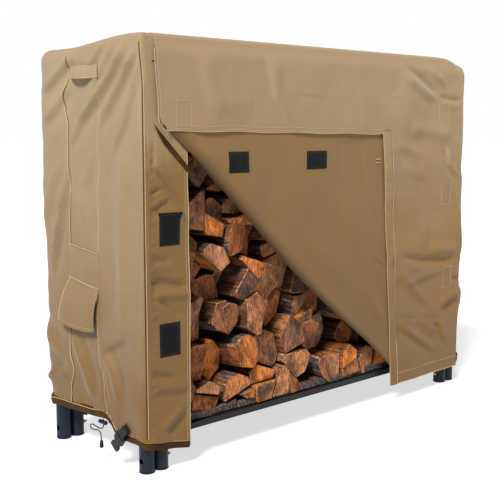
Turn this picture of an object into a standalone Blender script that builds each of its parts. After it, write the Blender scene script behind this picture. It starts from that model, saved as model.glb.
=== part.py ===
"""Covered firewood rack: tube end arches on a low base, a filled stack, and a fabric cover.

Metres, +Z up.  The front faces -Y, the length runs along X, and the floor is at z = 0.
Sheet fabric is drawn as a plain closed solid about 2 mm thick.
"""
import math
import random

import bmesh
import bpy
from mathutils import Matrix, Vector

# ------------------------------------------------------------------ driving dimensions
# Rack tube and spacing
TUBE_RADIUS = 0.019
TUBE_WALL = 0.0015
ARCH_X = 0.6105
YOKE_X = 0.5705
LEG_Y = 0.178
ARCH_TOP = 0.969
ARCH_BEND = 0.060
YOKE_TOP = 0.150
YOKE_BEND = 0.045
TUBE_FOOT = 0.0043
BOLT_Z = 0.030

# Base rails
RAIL_TOP = 0.0955
RAIL_HEIGHT = 0.015
RAIL_DEPTH = 0.030
RAIL_SHEET = 0.002
PLATE_THICK = 0.004
PLATE_HEIGHT = 0.045

# Firewood stack
STACK_BOTTOM = 0.0962
STACK_TOP = 0.945
STACK_COURSES = 6
STACK_HALF_DEPTH = 0.186
STACK_HALF_LENGTH = 0.587
STACK_BASE_HALF_LENGTH = 0.549

# Cover
FABRIC = 0.0022
HALF_LENGTH = 0.640
FRONT_Y = -0.2127
BACK_Y = 0.2219
COVER_TOP = 1.018
TOP_FALL = 0.016
SEAM_GAP = 0.001
COLUMN_INNER_X = 0.505
CORNER_SEAM_X = 0.6205
HEADER_BOTTOM = 0.955
FACING_DROP = 0.015
FACING_LAP = 0.008
FACING_THICK = 0.0016

# Front flap, from the valance's outer face inwards
VALANCE_OUTER_Y = -0.2204
VALANCE_THICK = 0.0020
DOOR_MID_Y = -0.2170
DOOR_THICK = 0.0020
FLAP_TOP = 1.000
BAND_OUTER_Y = -0.2219
BAND_THICK = 0.0012
PATCH_THICK = 0.0012

# The rolled edge of the door runs from its upper end to its lower end
ROLL_START = (-0.570, 0.810)
ROLL_END = (0.261, 0.068)
ROLL_TIGHT = 0.0014
ROLL_LOOSE = 0.0080

# Drawcord and its lock
CORD_DIAMETER = 0.0028
LOCK_X = -0.6395
LOCK_Z = 0.0978
LOCK_HOLE_Y = -0.0445
PLUNGER_TRAVEL = 0.003

TOUCH = 0.0003

random.seed(27)

PARTS = bpy.data.collections.new("firewood_rack")
CUTTERS = bpy.data.collections.new("cutters")


# ------------------------------------------------------------------ helpers
def clear_scene():
    for old in list(bpy.data.objects):
        bpy.data.objects.remove(old, do_unlink=True)
    bpy.context.scene.collection.children.link(PARTS)
    bpy.context.scene.collection.children.link(CUTTERS)


def material(name, colour, roughness, metallic=0.0):
    found = bpy.data.materials.get(name)
    if found:
        return found
    made = bpy.data.materials.new(name)
    made.use_nodes = True
    shader = made.node_tree.nodes["Principled BSDF"]
    shader.inputs["Base Color"].default_value = (*colour, 1.0)
    shader.inputs["Roughness"].default_value = roughness
    shader.inputs["Metallic"].default_value = metallic
    return made


def steel():
    return material("powder_coated_steel", (0.020, 0.024, 0.034), 0.45)


def zinc():
    return material("zinc_plated_steel", (0.55, 0.56, 0.58), 0.35, 1.0)


def canvas():
    return material("cover_canvas", (0.42, 0.32, 0.20), 0.75)


def facing_cloth():
    return material("hem_facing_cloth", (0.085, 0.045, 0.012), 0.8)


def black_plastic():
    return material("black_plastic", (0.012, 0.012, 0.013), 0.4)


def black_weave():
    return material("black_weave", (0.015, 0.015, 0.016), 0.85)


def split_wood():
    return material("split_wood", (0.30, 0.15, 0.07), 0.9)


def add_object(name, mesh, mat):
    piece = bpy.data.objects.new(name, mesh)
    PARTS.objects.link(piece)
    mesh.materials.clear()
    mesh.materials.append(mat)
    return piece


def make_cutter(piece):
    for home in list(piece.users_collection):
        home.objects.unlink(piece)
    CUTTERS.objects.link(piece)
    piece.hide_render = True
    piece.display_type = "WIRE"
    return piece


def combine(piece, other, operation):
    """Cut another object out of a piece, or join it to the piece."""
    make_cutter(other)
    step = piece.modifiers.new(operation.lower(), "BOOLEAN")
    step.operation = operation
    step.object = other
    step.solver = "EXACT"


def mesh_object(name, shape, mat):
    mesh = bpy.data.meshes.new(name)
    shape.to_mesh(mesh)
    shape.free()
    return add_object(name, mesh, mat)


def smooth(piece, degrees=35.0):
    piece.data.shade_smooth()
    piece.data.set_sharp_from_angle(angle=math.radians(degrees))


def box(name, low, high, mat):
    shape = bmesh.new()
    bmesh.ops.create_cube(shape, size=1.0)
    low, high = Vector(low), Vector(high)
    bmesh.ops.scale(shape, vec=high - low, verts=shape.verts)
    bmesh.ops.translate(shape, vec=(low + high) / 2, verts=shape.verts)
    return mesh_object(name, shape, mat)


def rod(name, start, end, radius, segments, mat):
    """A straight cylinder, or a prism, between two points."""
    start, end = Vector(start), Vector(end)
    shape = bmesh.new()
    bmesh.ops.create_cone(shape, cap_ends=True, segments=segments, radius1=radius,
                          radius2=radius, depth=(end - start).length)
    turn = Vector((0, 0, 1)).rotation_difference(end - start).to_matrix().to_4x4()
    bmesh.ops.transform(shape, matrix=Matrix.Translation((start + end) / 2) @ turn,
                        verts=shape.verts)
    return mesh_object(name, shape, mat)


def tube_curve(name, points, radius, resolution):
    curve = bpy.data.curves.new(name, "CURVE")
    curve.dimensions = "3D"
    curve.bevel_depth = radius
    curve.bevel_resolution = resolution
    curve.use_fill_caps = True
    spline = curve.splines.new("POLY")
    spline.points.add(len(points) - 1)
    for knot, point in zip(spline.points, points):
        knot.co = (*point, 1.0)
    piece = bpy.data.objects.new(name, curve)
    PARTS.objects.link(piece)
    return piece


def curve_to_mesh(piece, mat):
    """Replace a curve object by the welded mesh of what it draws."""
    graph = bpy.context.evaluated_depsgraph_get()
    mesh = bpy.data.meshes.new_from_object(piece.evaluated_get(graph))
    name, place = piece.name, piece.matrix_world.copy()
    bpy.data.objects.remove(piece, do_unlink=True)
    shape = bmesh.new()
    shape.from_mesh(mesh)
    bmesh.ops.remove_doubles(shape, verts=shape.verts, dist=0.00002)
    shape.to_mesh(mesh)
    shape.free()
    made = add_object(name, mesh, mat)
    made.matrix_world = place
    return made


def flat_outline(name, loops, thickness, mat, place):
    """Closed outlines filled and extruded by half the thickness each way."""
    curve = bpy.data.curves.new(name, "CURVE")
    curve.dimensions = "2D"
    curve.fill_mode = "BOTH"
    curve.extrude = thickness / 2
    for loop in loops:
        spline = curve.splines.new("POLY")
        spline.points.add(len(loop) - 1)
        for knot, (x, y) in zip(spline.points, loop):
            knot.co = (x, y, 0.0, 1.0)
        spline.use_cyclic_u = True
    piece = bpy.data.objects.new(name, curve)
    PARTS.objects.link(piece)
    piece.matrix_world = place
    bpy.context.view_layer.update()
    return curve_to_mesh(piece, mat)


def facing_front(mid_y):
    """Stand an outline drawn in x, z up in the plane y = mid_y."""
    return Matrix.Translation((0, mid_y, 0)) @ Matrix.Rotation(math.radians(90), 4, "X")


def turned(name, profile, steps, mat, place):
    """A profile of (radius, height) points turned about its Z axis, then placed."""
    mesh = bpy.data.meshes.new(name)
    shape = bmesh.new()
    verts = [shape.verts.new((r, 0, h)) for r, h in profile]
    for a, b in zip(verts, verts[1:]):
        shape.edges.new((a, b))
    shape.to_mesh(mesh)
    shape.free()
    piece = add_object(name, mesh, mat)
    screw = piece.modifiers.new("turn", "SCREW")
    screw.steps = steps
    screw.render_steps = steps
    screw.use_merge_vertices = True
    screw.merge_threshold = 0.00005
    piece.matrix_world = place
    return piece


def sheet(name, us, vs, place, thickness, mat, mirror=False, offset=-1.0):
    """A grid laid along us and vs, moved to place(u, v) and given a fabric's thickness."""
    shape = bmesh.new()
    bmesh.ops.create_grid(shape, x_segments=len(us) - 1, y_segments=len(vs) - 1, size=1.0)
    for vert in shape.verts:
        i = round((vert.co.x + 1) / 2 * (len(us) - 1))
        j = round((vert.co.y + 1) / 2 * (len(vs) - 1))
        vert.co = place(us[i], vs[j])
    if mirror:
        for vert in shape.verts:
            vert.co.x = -vert.co.x
        bmesh.ops.reverse_faces(shape, faces=shape.faces)
    piece = mesh_object(name, shape, mat)
    wall = piece.modifiers.new("fabric", "SOLIDIFY")
    wall.thickness = thickness
    wall.offset = offset
    smooth(piece, 60.0)
    return piece


def spread(first, last, count):
    return [first + (last - first) * i / (count - 1) for i in range(count)]


def ease(value, low, high):
    """0 below low, 1 above high, smooth between."""
    t = min(1.0, max(0.0, (value - low) / (high - low)))
    return t * t * (3 - 2 * t)


def through(knots, value):
    """Read a smooth line through (position, height) knots."""
    for (a, low), (b, high) in zip(knots, knots[1:]):
        if value <= b:
            return low + (high - low) * ease(value, a, b)
    return knots[-1][1]


def arc(centre, radius, start, end, steps):
    return [(centre[0] + radius * math.cos(math.radians(start + (end - start) * i / steps)),
             centre[1] + radius * math.sin(math.radians(start + (end - start) * i / steps)))
            for i in range(steps + 1)]


# ------------------------------------------------------------------ rack
def portal_path(x, foot, top, bend):
    """Up one leg, over two bends and down the other, in the plane at x."""
    steps = 6
    left = arc((-LEG_Y + bend, top - bend), bend, 180, 90, steps)
    right = arc((LEG_Y - bend, top - bend), bend, 90, 0, steps)
    run = [(-LEG_Y, foot)] + left + right + [(LEG_Y, foot)]
    return [(x, y, z) for y, z in run]


def hollow_portal(name, x, top, bend):
    outer = tube_curve(name, portal_path(x, TUBE_FOOT, top, bend), TUBE_RADIUS, 6)
    piece = curve_to_mesh(outer, steel())
    inner_path = portal_path(x, TUBE_FOOT - 0.01, top, bend)
    inner = tube_curve(name + "_bore", inner_path, TUBE_RADIUS - TUBE_WALL, 6)
    combine(piece, curve_to_mesh(inner, steel()), "DIFFERENCE")
    smooth(piece)
    return piece


def drill(piece, label, y, x_from, x_to, radius):
    hole = rod(piece.name + label, (x_from, y, BOLT_Z), (x_to, y, BOLT_Z), radius, 12, steel())
    combine(piece, hole, "DIFFERENCE")


def end_frame(side, sign):
    """The tall arch and the low base yoke bolted inside it."""
    arch = hollow_portal("end_arch_" + side, sign * ARCH_X, ARCH_TOP, ARCH_BEND)
    yoke = hollow_portal("base_yoke_" + side, sign * YOKE_X, YOKE_TOP, YOKE_BEND)
    for label, y in (("_front", -LEG_Y), ("_back", LEG_Y)):
        outboard = sign * (ARCH_X + TUBE_RADIUS)
        drill(arch, label + "_access", y, sign * ARCH_X, outboard + sign * 0.005, 0.007)
        drill(arch, label + "_bolt", y, sign * ARCH_X, sign * (ARCH_X - 0.03), 0.0034)
        drill(yoke, label + "_bolt", y, sign * (YOKE_X + 0.03), sign * (YOKE_X - 0.03), 0.0034)
        leg_bolt(side + label, sign, y)
        foot_plug("arch_foot_" + side + label, sign * ARCH_X, y)
        foot_plug("yoke_foot_" + side + label, sign * YOKE_X, y)


def leg_bolt(label, sign, y):
    """A hex bolt from inside the arch leg through both walls of the yoke leg, and its nut."""
    seat = ARCH_X - TUBE_RADIUS + TUBE_WALL + 0.0014
    head = rod("leg_bolt_" + label, (sign * seat, y, BOLT_Z),
               (sign * (seat + 0.004), y, BOLT_Z), 0.0058, 6, zinc())
    tip = YOKE_X - TUBE_RADIUS - 0.011
    shank = rod("shank_" + label, (sign * (seat + 0.002), y, BOLT_Z),
                (sign * tip, y, BOLT_Z), 0.003, 10, zinc())
    combine(head, shank, "UNION")
    face = YOKE_X - TUBE_RADIUS - TOUCH
    nut = rod("leg_nut_" + label, (sign * face, y, BOLT_Z),
              (sign * (face - 0.005), y, BOLT_Z), 0.0058, 6, zinc())
    bore = rod("nut_bore_" + label, (sign * (face + 0.002), y, BOLT_Z),
               (sign * (face - 0.007), y, BOLT_Z), 0.0033, 10, zinc())
    combine(nut, bore, "DIFFERENCE")


def foot_plug(name, x, y):
    """A moulded plug: a flanged foot on the floor and a spigot up inside the tube."""
    spigot = TUBE_RADIUS - TUBE_WALL - 0.0005
    flange = TUBE_FOOT - TOUCH
    profile = [(0, 0.018), (spigot - 0.001, 0.018), (spigot, 0.017), (spigot, flange),
               (TUBE_RADIUS + 0.0006, flange), (TUBE_RADIUS + 0.0006, 0.0012),
               (TUBE_RADIUS - 0.001, 0), (0, 0)]
    plug = turned(name, profile, 16, black_plastic(), Matrix.Translation((x, y, 0)))
    smooth(plug)


def base_rail(name, y):
    """A channel open downwards, with an upright plate at each end against the yokes."""
    half, wall = RAIL_DEPTH / 2, RAIL_SHEET
    low = RAIL_TOP - RAIL_HEIGHT
    section = [(-half, low), (-half + wall, low), (-half + wall, RAIL_TOP - wall),
               (half - wall, RAIL_TOP - wall), (half - wall, low), (half, low),
               (half, RAIL_TOP), (-half, RAIL_TOP)]
    reach = YOKE_X - TUBE_RADIUS - TOUCH
    along_x = Matrix(((0, 0, 1, 0), (1, 0, 0, y), (0, 1, 0, 0), (0, 0, 0, 1)))
    rail = flat_outline(name, [section], 2 * (reach - PLATE_THICK / 2), steel(), along_x)
    for sign in (-1, 1):
        edges = sorted((sign * reach, sign * (reach - PLATE_THICK)))
        plate = box(name + "_plate" + ("_right" if sign > 0 else "_left"),
                    (edges[0], y - half - 0.001, RAIL_TOP - PLATE_HEIGHT),
                    (edges[1], y + half + 0.001, RAIL_TOP), steel())
        combine(rail, plate, "UNION")
    return rail


def cross_slat(name, x):
    reach = LEG_Y - RAIL_DEPTH / 2 - TOUCH
    slat = box(name, (x - 0.015, -reach, RAIL_TOP - 0.005), (x + 0.015, reach, RAIL_TOP), steel())
    return slat


def make_rack():
    end_frame("left", -1)
    end_frame("right", 1)
    base_rail("front_rail", -LEG_Y)
    base_rail("back_rail", LEG_Y)
    cross_slat("cross_slat_left", -0.19)
    cross_slat("cross_slat_right", 0.19)


# ------------------------------------------------------------------ firewood
def course_line(level, count):
    """The uneven line between two courses of split logs, as heights at even steps."""
    return [level + random.uniform(-0.012, 0.012) for _ in range(count)]


def make_firewood():
    """Six courses with uneven joints; the lowest two have flat undersides."""
    count = 15
    uneven = 0.012
    pitch = (STACK_TOP - STACK_BOTTOM) / STACK_COURSES
    lines = [[STACK_BOTTOM] * count]
    lines += [course_line(STACK_BOTTOM + pitch * k, count) for k in range(1, STACK_COURSES)]
    lines += [course_line(STACK_TOP - uneven, count)]
    for k in range(STACK_COURSES):
        half = STACK_BASE_HALF_LENGTH if k == 0 else STACK_HALF_LENGTH
        xs = spread(-half, half, count)
        high = [(x, z - TOUCH) for x, z in zip(xs, lines[k + 1])]
        if k == 0:
            low = [(x, STACK_BOTTOM) for x in (-half, half)]
        elif k == 1:
            low = [(x, max(lines[1]) + 0.001) for x in (-half, half)]
        else:
            low = [(x, z + TOUCH) for x, z in zip(xs, lines[k])]
        depth = 2 * (STACK_HALF_DEPTH - 0.004 * (k % 3))
        outline = low + list(reversed(high))
        flat_outline("firewood_course_%d" % (k + 1), [outline], depth, split_wood(),
                     facing_front(0.0))


# ------------------------------------------------------------------ cover shell
def top_height(x, y):
    """Height of the cover's top: it falls to the back and most at the right front corner."""
    fall = TOP_FALL * ease(y, -0.16, 0.06) + 0.006 * ease(x, 0.46, 0.62)
    corner = 0.016 * ease(x, 0.52, 0.64) * (1 - ease(y, FRONT_Y, -0.12))
    return COVER_TOP - fall - corner


def roll_over(x, y):
    """Radius of the rounding where a wall turns onto the top."""
    back = 0.021 * ease(y, 0.0, 0.12)
    right = 0.016 * ease(x, 0.50, 0.60)
    return 0.009 + max(back, right)


def hem_left_end(y):
    knots = [(FRONT_Y, 0.084), (-0.162, 0.088), (-0.100, 0.088), (-0.064, 0.118),
             (-0.040, 0.123), (0.030, 0.117), (0.110, 0.115), (BACK_Y, 0.112)]
    return through(knots, y)


def hem_height(x, y):
    """Height of the stitched lower edge anywhere round the cover."""
    if y < FRONT_Y + 0.002:
        return through([(-HALF_LENGTH, 0.084), (-0.580, 0.074), (-0.500, 0.062),
                        (0.500, 0.062), (0.580, 0.070), (HALF_LENGTH, 0.084)], x)
    if y > BACK_Y - 0.002:
        return 0.112
    return hem_left_end(y)


def corner_radius(x, y):
    if y > 0:
        return 0.040
    return 0.012 if x < 0 else 0.028


def plan_stations(points):
    """Turn plan points into (centre, outward direction, radius) so that they can be inset."""
    made = []
    for x, y, nx, ny in points:
        reach = corner_radius(x, y)
        made.append((x - nx * reach, y - ny * reach, nx, ny, reach))
    return made


def end_plan(sign):
    """Round an end wall from the back face, over the end, to the front face."""
    back, front = corner_radius(sign, 1), corner_radius(sign, -1)
    points = [(sign * 0.585, BACK_Y, 0, 1)]
    for k in range(6):
        turn = math.radians(90 * k / 5)
        nx, ny = sign * math.sin(turn), math.cos(turn)
        points.append((sign * (HALF_LENGTH - back) + back * nx, BACK_Y - back + back * ny, nx, ny))
    for y in END_STATIONS:
        points.append((sign * HALF_LENGTH, y, sign, 0))
    for k in range(5):
        turn = math.radians(90 * k / 4)
        nx, ny = sign * math.cos(turn), -math.sin(turn)
        points.append((sign * (HALF_LENGTH - front) + front * nx,
                       FRONT_Y + front + front * ny, nx, ny))
    seam = CORNER_SEAM_X if sign < 0 else HALF_LENGTH - front - 0.002
    points.append((sign * seam, FRONT_Y, 0, -1))
    return points


def wall_point(station, rise):
    """rise runs 0 to 1 from hem to shoulder, then 1 to 2 over the rounding to the top."""
    cx, cy, nx, ny, reach = station
    x, y = cx + nx * reach, cy + ny * reach
    roll, top, hem = roll_over(x, y), top_height(x, y), hem_height(x, y)
    turn = math.radians(90 * max(0.0, rise - 1.0))
    inset = roll * (1 - math.cos(turn))
    if rise <= 1.0:
        z = hem + (top - roll - hem) * rise
    else:
        z = top - roll + roll * math.sin(turn)
    return Vector((cx + nx * (reach - inset), cy + ny * (reach - inset), z))


# Where the grids of neighbouring panels share their stations
END_STATIONS = [0.130, 0.085, 0.030, 0.0, -0.040, -0.062, -0.080, -0.100, -0.150]
RUN_STATIONS = [-0.48, -0.34, -0.17, 0.0, 0.17, 0.34, 0.46, 0.50, 0.54]

WALL_RISE = [0.0, 0.10, 0.25, 0.40, 0.55, 0.70, 0.85, 1.0, 1.25, 1.5, 1.75, 2.0]


def wall_panel(name, points, rises, mirror_order=False):
    stations = plan_stations(points)
    if mirror_order:
        stations = list(reversed(stations))
    return sheet(name, list(range(len(stations))), rises,
                 lambda u, v: wall_point(stations[u], v), FABRIC, canvas())


def front_plan(x_from, x_to, count):
    return [(x, FRONT_Y, 0, -1) for x in spread(x_from, x_to, count)]


def column_panel(name, x_from, x_to):
    """A narrow front column below the header."""
    def place(x, rise):
        hem = hem_height(x, FRONT_Y)
        return Vector((x, FRONT_Y, hem + (HEADER_BOTTOM - SEAM_GAP - hem) * rise))
    return sheet(name, spread(x_from, x_to, 4), spread(0.0, 1.0, 8), place, FABRIC, canvas())


def top_panel():
    """The flat top inside the walls' rounded shoulders."""
    left, right = -HALF_LENGTH, HALF_LENGTH
    xs = [left, left + 0.006, left + 0.012, left + 0.04, -0.584] + RUN_STATIONS
    xs += [0.584, right - 0.028, right - 0.014, right]
    ys = [FRONT_Y, FRONT_Y + 0.006, FRONT_Y + 0.012, FRONT_Y + 0.028]
    ys += list(reversed(END_STATIONS)) + [BACK_Y - 0.040, BACK_Y - 0.020, BACK_Y]

    def place(x, y):
        reach = corner_radius(x, y)
        cx = max(left + reach, min(right - reach, x))
        cy = max(FRONT_Y + reach, min(BACK_Y - reach, y))
        dx, dy = x - cx, y - cy
        if dx and dy:
            shrink = max(abs(dx), abs(dy)) / math.hypot(dx, dy)
            dx, dy = dx * shrink, dy * shrink
        keep = 1.0 - (roll_over(cx + dx, cy + dy) + SEAM_GAP) / reach
        return Vector((cx + dx * keep, cy + dy * keep, top_height(cx + dx, cy + dy)))

    return sheet("top_panel", xs, ys, place, FABRIC, canvas())


def hem_facing(name, points):
    """The dark band of facing cloth inside the stitched hem, hanging below it."""
    stations = plan_stations(points)

    def place(u, drop):
        cx, cy, nx, ny, reach = stations[u]
        hem = hem_height(cx + nx * reach, cy + ny * reach)
        inset = reach - FABRIC - TOUCH
        z = hem - FACING_DROP + (FACING_DROP + FACING_LAP) * drop
        return Vector((cx + nx * inset, cy + ny * inset, z))

    return sheet(name, list(range(len(stations))), [0.0, 0.5, 1.0], place, FACING_THICK,
                 facing_cloth())


def make_cover_shell():
    top_panel()
    wall_panel("left_end_panel", end_plan(-1), WALL_RISE)
    wall_panel("right_end_panel", end_plan(1), WALL_RISE, mirror_order=True)
    edge = 0.585 - SEAM_GAP
    back = [(x, BACK_Y, 0, 1) for x in [edge] + list(reversed(RUN_STATIONS)) + [-edge]]
    wall_panel("back_panel", back, WALL_RISE)
    seam_left = -CORNER_SEAM_X + SEAM_GAP
    seam_right = HALF_LENGTH - corner_radius(1, -1) - 0.002 - SEAM_GAP
    column_panel("left_front_column", seam_left, -COLUMN_INNER_X)
    column_panel("right_front_column", COLUMN_INNER_X, seam_right)
    front_header(seam_left, seam_right)
    left_run = end_plan(-1) + front_plan(-CORNER_SEAM_X + 0.02, -COLUMN_INNER_X, 4)
    hem_facing("hem_facing_left", left_run)
    right_run = front_plan(COLUMN_INNER_X, seam_right - 0.02, 3) + list(reversed(end_plan(1)))
    hem_facing("hem_facing_right", right_run)
    hem_facing("hem_facing_back", back)


def front_header(x_from, x_to):
    """The strip along the top of the front that the flap is sewn to."""
    run = [x_from, -0.584] + RUN_STATIONS + [0.584, x_to]
    stations = plan_stations([(x, FRONT_Y, 0, -1) for x in run])

    def place(u, rise):
        if rise == 0.0:
            x = stations[u][0]
            return Vector((x, FRONT_Y, HEADER_BOTTOM))
        return wall_point(stations[u], rise)

    rises = [0.0, 1.0, 1.25, 1.5, 1.75, 2.0]
    return sheet("front_header", list(range(len(stations))), rises, place, FABRIC, canvas())


# ------------------------------------------------------------------ front flap
def band_lean(z):
    """How far the vertical band has leant to the right at height z."""
    return 0.058 * (FLAP_TOP - 0.2 - z) / 0.73


def front_sheet():
    """Valance across the top and the closed right part, cut as one L."""
    corner = arc((-0.566, 0.836), 0.030, 180, 270, 6)
    right_hem = 0.050
    inner_x = 0.226
    outline = [(-0.603, FLAP_TOP), (-0.597, 0.904)] + corner
    outline += [(-0.236, 0.801), (inner_x, 0.792), (inner_x + band_lean(0.46), 0.46),
                (inner_x + band_lean(0.070), 0.070), (inner_x + 0.055, right_hem),
                (0.600, right_hem), (0.603, 0.962), (0.596, 0.975), (0.575, 0.986),
                (0.530, 0.996), (0.470, FLAP_TOP)]
    middle = VALANCE_OUTER_Y + VALANCE_THICK / 2
    return flat_outline("front_sheet", [outline], VALANCE_THICK, canvas(), facing_front(middle))


def placket_band():
    heights = spread(0.052, 0.820, 9)
    left = [(0.205 + band_lean(z), z) for z in heights]
    right = [(0.243 + band_lean(z) * 0.80, z) for z in heights]
    middle = BAND_OUTER_Y + BAND_THICK / 2
    return flat_outline("placket_band", [left + list(reversed(right))], BAND_THICK, canvas(),
                        facing_front(middle))


def roll_height(x):
    (x0, z0), (x1, z1) = ROLL_START, ROLL_END
    return z0 + (z1 - z0) * (x - x0) / (x1 - x0)


def door_panel():
    """The door cloth: down to its rolled diagonal edge, round the roll and up again behind."""
    xs = [-0.550, -0.525, -0.500, -0.475, -0.450, -0.425] + spread(-0.39, 0.21, 12)
    front, back = spread(0.0, 1.0, 4), spread(0.25, 1.0, 4)
    path = [("front", t) for t in front] + [("roll", t) for t in (0.17, 0.33, 0.5, 0.67, 0.83)]
    path += [("roll", 1.0)] + [("back", t) for t in back]

    def place(x, step):
        part, t = step
        radius = ROLL_TIGHT + (ROLL_LOOSE - ROLL_TIGHT) * ease(x, -0.50, -0.42)
        centre = roll_height(x) + 1.34 * radius
        behind = min(0.81 + 0.142 * (x + 0.57), 0.915)
        if part == "front":
            y, z = DOOR_MID_Y, 0.815 + (centre - 0.815) * t
        elif part == "roll":
            turn = math.pi * t
            y = DOOR_MID_Y + radius * (1 - math.cos(turn))
            z = centre - 1.34 * radius * math.sin(turn)
        else:
            y, z = DOOR_MID_Y + 2 * radius, centre + (behind - centre) * t
        lean = band_lean(min(z, 0.8)) * ease(x, -0.2, 0.21)
        return Vector((x + lean, y, z))

    return sheet("door_panel", xs, list(reversed(path)), place, DOOR_THICK, canvas(), offset=0.0)


def patch(name, x_range, z_range, outer_y):
    low = (x_range[0], outer_y, z_range[0])
    high = (x_range[1], outer_y + PATCH_THICK, z_range[1])
    return box(name, low, high, black_weave())


def make_front_flap():
    front_sheet()
    placket_band()
    door_panel()
    on_door = DOOR_MID_Y - DOOR_THICK / 2 - TOUCH - PATCH_THICK
    patch("door_patch_left", (-0.385, -0.316), (0.701, 0.752), on_door)
    patch("door_patch_right", (-0.107, -0.030), (0.702, 0.749), on_door)
    on_column = FRONT_Y - TOUCH - PATCH_THICK
    patch("column_patch_upper", (-0.592, -0.532), (0.540, 0.616), on_column)
    patch("column_patch_lower", (-0.594, -0.534), (0.280, 0.358), on_column)


# ------------------------------------------------------------------ vents and handles
def vent_hood(name, mirror):
    """A hood sewn along its top edge that slopes out and then hangs clear of the wall."""
    depth = [(0.340, 0.0295), (0.370, 0.0290), (0.400, 0.0285), (0.430, 0.0265), (0.447, 0.0235),
             (0.462, 0.0175), (0.480, 0.0110), (0.500, 0.0045), (0.514, 0.0005)]

    def place(u, level):
        z, out = level
        flare = 0.020 * ease(0.50 - z, 0.0, 0.15)
        y = 0.080 + flare - (0.125 + flare) * u
        sag = 0.006 * math.sin(math.pi * u) * ease(0.45 - z, 0.0, 0.1)
        curl = 1.0 - 0.12 * abs(2 * u - 1) ** 3
        return Vector((-HALF_LENGTH - TOUCH - out * curl, y, z - sag))

    return sheet(name, spread(0.0, 1.0, 7), depth, place, 0.0016, canvas(), mirror, offset=1.0)


def grab_handle(name, mirror):
    """A bowed strap sewn to the end wall at both ends."""
    low, high = 0.929, 0.957

    def place(u, z):
        bow = 0.016 * math.sin(math.pi * min(1.0, max(0.0, (u - 0.12) / 0.76))) ** 0.8
        tilt = 0.006 * math.sin(math.pi * u) * (high - z) / (high - low)
        y = 0.078 - 0.133 * u
        return Vector((-HALF_LENGTH - TOUCH - bow - tilt, y, z - 0.3 * bow))

    return sheet(name, spread(0.0, 1.0, 13), spread(low, high, 4), place, 0.0018, canvas(),
                 mirror, offset=1.0)


def make_end_fittings():
    for side, mirror in (("left", False), ("right", True)):
        vent_hood("vent_hood_" + side, mirror)
        grab_handle("grab_handle_" + side, mirror)
        buckle("buckle_" + side, mirror)
        buckle_strap("buckle_strap_" + side, mirror)


# ------------------------------------------------------------------ buckle and its strap
BUCKLE_ANCHOR = (-0.130, 0.088)
BUCKLE_TILT = math.radians(40)
BUCKLE_BACK_X = -0.6440
BUCKLE_THICK = 0.0060
WEBBING = 0.0013


def buckle_place(across, along):
    """Plan position on the tilted buckle, as (y, z) on the end wall."""
    y = BUCKLE_ANCHOR[0] + along * math.sin(BUCKLE_TILT) + across * math.cos(BUCKLE_TILT)
    z = BUCKLE_ANCHOR[1] - along * math.cos(BUCKLE_TILT) + across * math.sin(BUCKLE_TILT)
    return y, z


def buckle(name, mirror):
    """Half of a side-release buckle: slotted frame, waist and flared end."""
    half = [(0.0150, 0.000), (0.0170, 0.002), (0.0170, 0.023), (0.0150, 0.026), (0.0095, 0.029),
            (0.0095, 0.034), (0.0140, 0.038), (0.0145, 0.048), (0.0125, 0.050)]
    outline = half + [(-a, b) for a, b in reversed(half)]
    slot = [(-0.0135, 0.004), (0.0135, 0.004), (0.0135, 0.010), (-0.0135, 0.010)]
    sign = 1 if mirror else -1
    side_x = sign * (abs(BUCKLE_BACK_X) + BUCKLE_THICK / 2)
    tilt = BUCKLE_TILT
    place = Matrix(((0, 0, sign, side_x),
                    (math.cos(tilt), math.sin(tilt), 0, BUCKLE_ANCHOR[0]),
                    (math.sin(tilt), -math.cos(tilt), 0, BUCKLE_ANCHOR[1]),
                    (0, 0, 0, 1)))
    loops = [outline, slot]
    piece = flat_outline(name, loops, BUCKLE_THICK, black_plastic(), place)
    tidy_normals(piece)
    return piece


def tidy_normals(piece):
    """Bake the place into the mesh and point every face outwards."""
    shape = bmesh.new()
    shape.from_mesh(piece.data)
    bmesh.ops.transform(shape, matrix=piece.matrix_world, verts=shape.verts)
    bmesh.ops.recalc_face_normals(shape, faces=shape.faces)
    shape.to_mesh(piece.data)
    shape.free()
    piece.matrix_world = Matrix.Identity(4)


def buckle_strap(name, mirror):
    """Webbing sewn to the wall, round the buckle's bar and back up in front of it."""
    back = abs(BUCKLE_BACK_X) - 0.0012
    front = abs(BUCKLE_BACK_X) + BUCKLE_THICK + 0.0012
    middle, reach = (back + front) / 2, (front - back) / 2
    path = [(-0.030, back), (-0.015, back), (0.000, back), (0.004, back)]
    path += [(0.0045 + reach * 0.55 * math.sin(t), middle - reach * math.cos(t))
             for t in (math.pi / 5 * k for k in range(1, 5))]
    path += [(0.004, front), (-0.006, front), (-0.016, front - 0.0010), (-0.024, front - 0.0025)]

    def place(across, step):
        along, out = step
        y, z = buckle_place(across, along)
        return Vector((-out, y, z))

    return sheet(name, [-0.0115, 0.0, 0.0115], path, place, WEBBING, black_weave(), mirror,
                 offset=0.0)


# ------------------------------------------------------------------ drawcord and lock
def along_minus_y(x, y, z):
    """Put a turned piece's axis along Y with its top towards +Y."""
    return Matrix.Translation((x, y, z)) @ Matrix.Rotation(math.radians(-90), 4, "X")


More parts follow.
